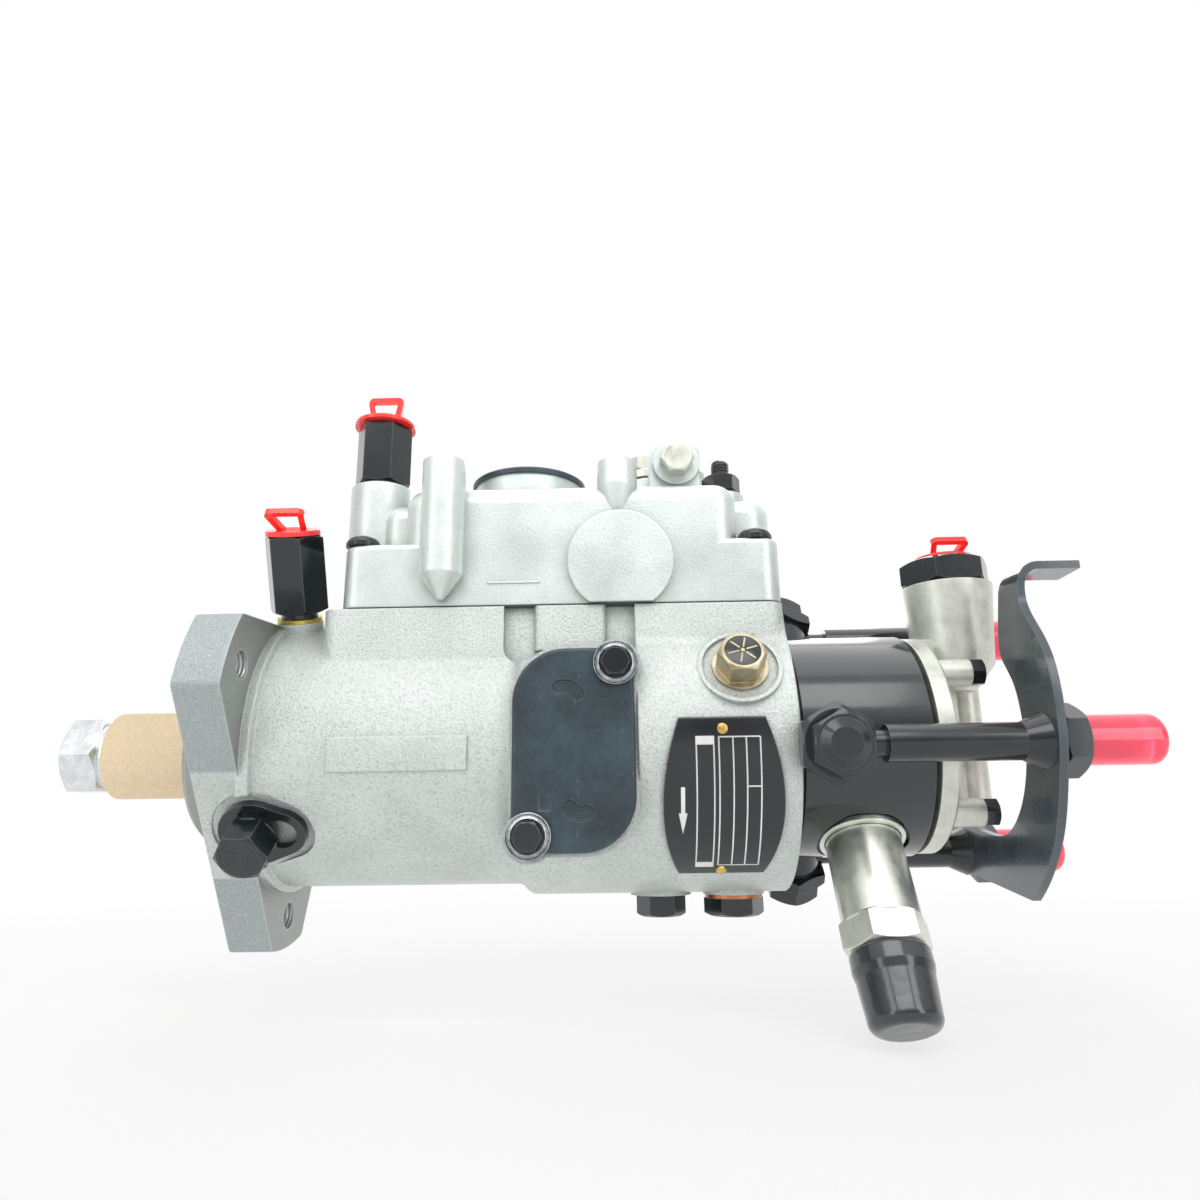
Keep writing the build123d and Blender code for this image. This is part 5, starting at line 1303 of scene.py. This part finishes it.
@dataclass
class CoverScrewHeads:
    """Knurled rims of the four cover screws, and thin dark hexagons laid in their sockets as painted shade.
    """

    xs: Flat = (43.0 * MM, 172.8 * MM)
    y: float = 30.4 * MM
    seat: float = 64.5 * MM
    radius: float = 5.4 * MM
    knurls: int = 26
    knurl_foot: float = 0.1 * MM
    knurl_crest: float = 0.22 * MM
    knurl_z: Flat = (0.25 * MM, 1.5 * MM)
    socket_shade_corner: float = 1.9 * MM
    socket_shade_z: Flat = (3.45 * MM, 3.53 * MM)

    def build(self) -> None:
        """Cut the knurl and lay a dark hexagon in each socket as painted shade."""
        rims = Form("cover_screw_knurl")
        socket_shade = Form("cover_screw_socket_shade")
        foot, crest = self.radius - self.knurl_foot, self.radius + self.knurl_crest
        collar = millimetres((2.5, 3.4), (3.1, 3.4), (3.0, 3.75), (2.6, 3.75))
        hexagon = [(x, y) for x, y, _ in circle(self.socket_shade_corner, 0, 6)]
        for x in self.xs:
            for y in (-self.y, self.y):
                rims.at(upright(x, y, self.seat))
                rims.teeth(foot, crest, self.knurls, *self.knurl_z)
                rims.lathe(collar, 32)
                # Painted shade: a thin black hexagon stands for the shade down inside each socket.
                socket_shade.at(upright(x, y, self.seat)).plate(hexagon, *self.socket_shade_z)
        rims.finish(Surface.DARK, "pump")
        socket_shade.finish(Surface.RUBBER, "pump")


@dataclass
class CastMarks:
    """A raised bar that the mould left on the cover, and the solenoid's seat ring."""

    bar: tuple[float, float, float, float] = (85.3 * MM, 102.4 * MM, 50.1 * MM, 50.9 * MM)
    wall_y: float = -36.0 * MM
    ring_x: float = 203 * MM
    ring_angle: float = 240.0
    ring_seat: float = 34.5 * MM

    def build(self) -> None:
        """Raise both marks."""
        form = Form("cover_cast_bar", front(0, self.wall_y, 0))
        form.bar(*self.bar, -0.05 * MM, 0.3 * MM, 0.2 * MM)
        form.finish(Surface.COVER, "pump")
        form = Form("solenoid_seat_ring", outward(self.ring_x, self.ring_angle, self.ring_seat))
        rim = ((11.9, 0.02), (13.4, 0.02), (13.6, 0.4), (13.6, 1.7), (13.2, 2.1), (11.9, 2.1))
        form.lathe(millimetres(*rim), 64)
        form.finish(Surface.SOLENOID, "pump")


# ---------------------------------------------------------------- studio


@dataclass(frozen=True)
class Lamp:
    """One soft lamp: square, or a strip where it has a height of its own."""

    name: str
    place: Place
    width: float
    watts: float
    height: float = 0.0

    def hang(self, aim: Place) -> None:
        """Hang the lamp so that it faces a point.

        Args:
            aim: The point.
        """
        data = bpy.data.lights.new(self.name, "AREA")
        data.size = self.width
        if self.height:
            data.shape = "RECTANGLE"
            data.size_y = self.height
        data.energy = self.watts
        lamp = bpy.data.objects.new(self.name, data)
        bpy.context.collection.objects.link(lamp)
        lamp.location = self.place
        lamp.rotation_euler = (Vector(aim) - Vector(self.place)).to_track_quat("-Z", "Y").to_euler()


class Room(Tree):
    """White to the eye, a bright room with a dark front in mirrors, and an even fill for the rest."""

    dark: float = 0.26
    ceiling: Flat = (0.1, 0.6)
    ceiling_glow: float = 1.1
    rear: Flat = (-0.1, 0.4)
    rear_glow: float = 1.0
    horizon: Flat = (0.0, 0.22)
    horizon_glow: float = 0.75

    def background(self, strength: Socket | float) -> Socket:
        """Give a white background of a strength."""
        return self.node("Background", {"Color": (1, 1, 1, 1), "Strength": strength}).outputs[0]

    def rise(self, source: Socket, start: float, end: float, low: float, high: float) -> Socket:
        """Ease a value from low at start to high at end.

        Args:
            source: The value.
            start: Value that gives low.
            end: Value that gives high.
            low: Result at start.
            high: Result at end.

        Returns:
            The eased value.
        """
        inputs = {"From Min": start, "From Max": end, "To Min": low, "To Max": high, "Value": source}
        return self.node("MapRange", inputs, interpolation_type="SMOOTHSTEP").outputs["Result"]

    def larger(self, first: Socket, second: Socket) -> Socket:
        """Give the larger of two values."""
        return self.node("Math", {0: first, 1: second}, operation="MAXIMUM").outputs[0]

    def choose(self, share: Socket, first: Socket, second: Socket) -> Socket:
        """Blend from the first shader to the second as the share goes from 0 to 1."""
        return self.node("MixShader", {0: share, 1: first, 2: second}).outputs[0]

    def build(self, fill: float) -> None:
        """Join the room's nodes.

        Args:
            fill: Strength of the even light.
        """
        self.nodes.clear()
        path = self.node("LightPath").outputs
        ray = self.node("SeparateXYZ", {0: self.node("TexCoord").outputs["Generated"]}).outputs
        above = self.rise(ray["Z"], *self.ceiling, self.dark, self.ceiling_glow)
        behind = self.rise(ray["Y"], *self.rear, self.dark, self.rear_glow)
        horizon = self.rise(ray["Z"], *self.horizon, self.horizon_glow, self.dark)
        mirrored = self.background(self.larger(self.larger(above, behind), horizon))
        lit = self.choose(path["Is Glossy Ray"], self.background(fill), mirrored)
        clear = self.larger(path["Is Camera Ray"], path["Is Transmission Ray"])
        seen = self.choose(clear, lit, self.background(1.0))
        self.node("OutputWorld", {"Surface": seen})


@dataclass
class Studio:
    """Floor, lamps, room and camera."""

    eye: Place = (0.126, -0.2984, -0.0236)
    yaw: float = math.radians(-0.97)
    pitch: float = math.radians(14.46)
    roll: float = math.radians(-0.81)
    lens: float = 25.5
    sensor: float = 36.0
    floor_size: float = 30.0
    floor_drop: float = 1 * MM
    floor_tint: Colour = (0.88, 0.88, 0.88)
    fade: Flat = (0.2, 0.6)
    sweep: float = 0.74
    fill: float = 0.39
    middle: Place = (0.12, 0, 0)
    lamps: tuple[Lamp, ...] = (
        Lamp("key", (0.08, -0.84, 0.92), 1.1, 5.7, 0.6),
        Lamp("fill", (0.85, -0.85, 0.2), 0.3, 2.6, 1.1),
        Lamp("side", (-0.75, -0.85, 0.25), 0.3, 2.2, 1.1),
        Lamp("top", (0.12, 0.15, 1.2), 1.2, 3.3),
        Lamp("back", (0.1, 1.1, 0.6), 1.0, 5),
    )

    def build(self) -> None:
        """Set up everything round the pump."""
        bpy.context.scene.view_settings.view_transform = "Standard"
        self.camera()
        self.floor()
        for lamp in self.lamps:
            lamp.hang(self.middle)
            log.info("lamp %s", lamp.name)
        world = bpy.data.worlds.new("studio")
        bpy.context.scene.world = world
        Room(world).build(self.fill)

    def camera(self) -> None:
        """Place the camera a little below the drive axis, looking up at the cover."""
        ahead = Vector(
            (
                math.sin(self.yaw) * math.cos(self.pitch),
                math.cos(self.yaw) * math.cos(self.pitch),
                math.sin(self.pitch),
            )
        )
        level = Vector((math.cos(self.yaw), -math.sin(self.yaw), 0))
        above = level.cross(ahead)
        right = math.cos(self.roll) * level + math.sin(self.roll) * above
        up = math.cos(self.roll) * above - math.sin(self.roll) * level
        data = bpy.data.cameras.new("camera")
        data.lens = self.lens
        data.sensor_width = self.sensor
        data.clip_start = 10 * MM
        camera = bpy.data.objects.new("camera", data)
        bpy.context.collection.objects.link(camera)
        camera.matrix_world = Matrix.Translation(self.eye) @ Matrix((right, up, -ahead)).transposed().to_4x4()
        bpy.context.scene.camera = camera

    def floor(self) -> None:
        """Lay a plain pale floor under the lowest point, fading to a white sweep away from the pump."""
        low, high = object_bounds()
        place = ((low[0] + high[0]) / 2, 0, low[2] - self.floor_drop)
        bpy.ops.mesh.primitive_plane_add(size=self.floor_size, location=place)
        floor = bpy.context.object
        floor.name = "floor"
        g = Graph("pale_floor")
        g.set(base_color=self.floor_tint, roughness=0.9, specular_ior_level=0.05)
        share = g.span(g.length(g.place), self.sweep, 1, *self.fade)
        white = g.node("Emission").outputs[0]
        mix = g.node("MixShader", {0: share, 1: g.shader.outputs[0], 2: white})
        g.links.new(mix.outputs[0], g.nodes["Material Output"].inputs["Surface"])
        floor.data.materials.append(g.material)
        floor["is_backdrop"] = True


def main() -> None:
    """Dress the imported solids, add the small pieces and set up the studio."""
    logging.basicConfig(level=logging.INFO, format="%(name)s: %(message)s")
    dress_solids()
    plates = (Nameplate, InspectionCover)
    fittings = (LockingScrewTops, LockScrewFace, Threads, CoverScrewHeads, CastMarks)
    for kind in plates + fittings:
        kind().build()
        log.info("built %s", kind.__name__)
    Studio().build()


if __name__ == "__main__":
    main()
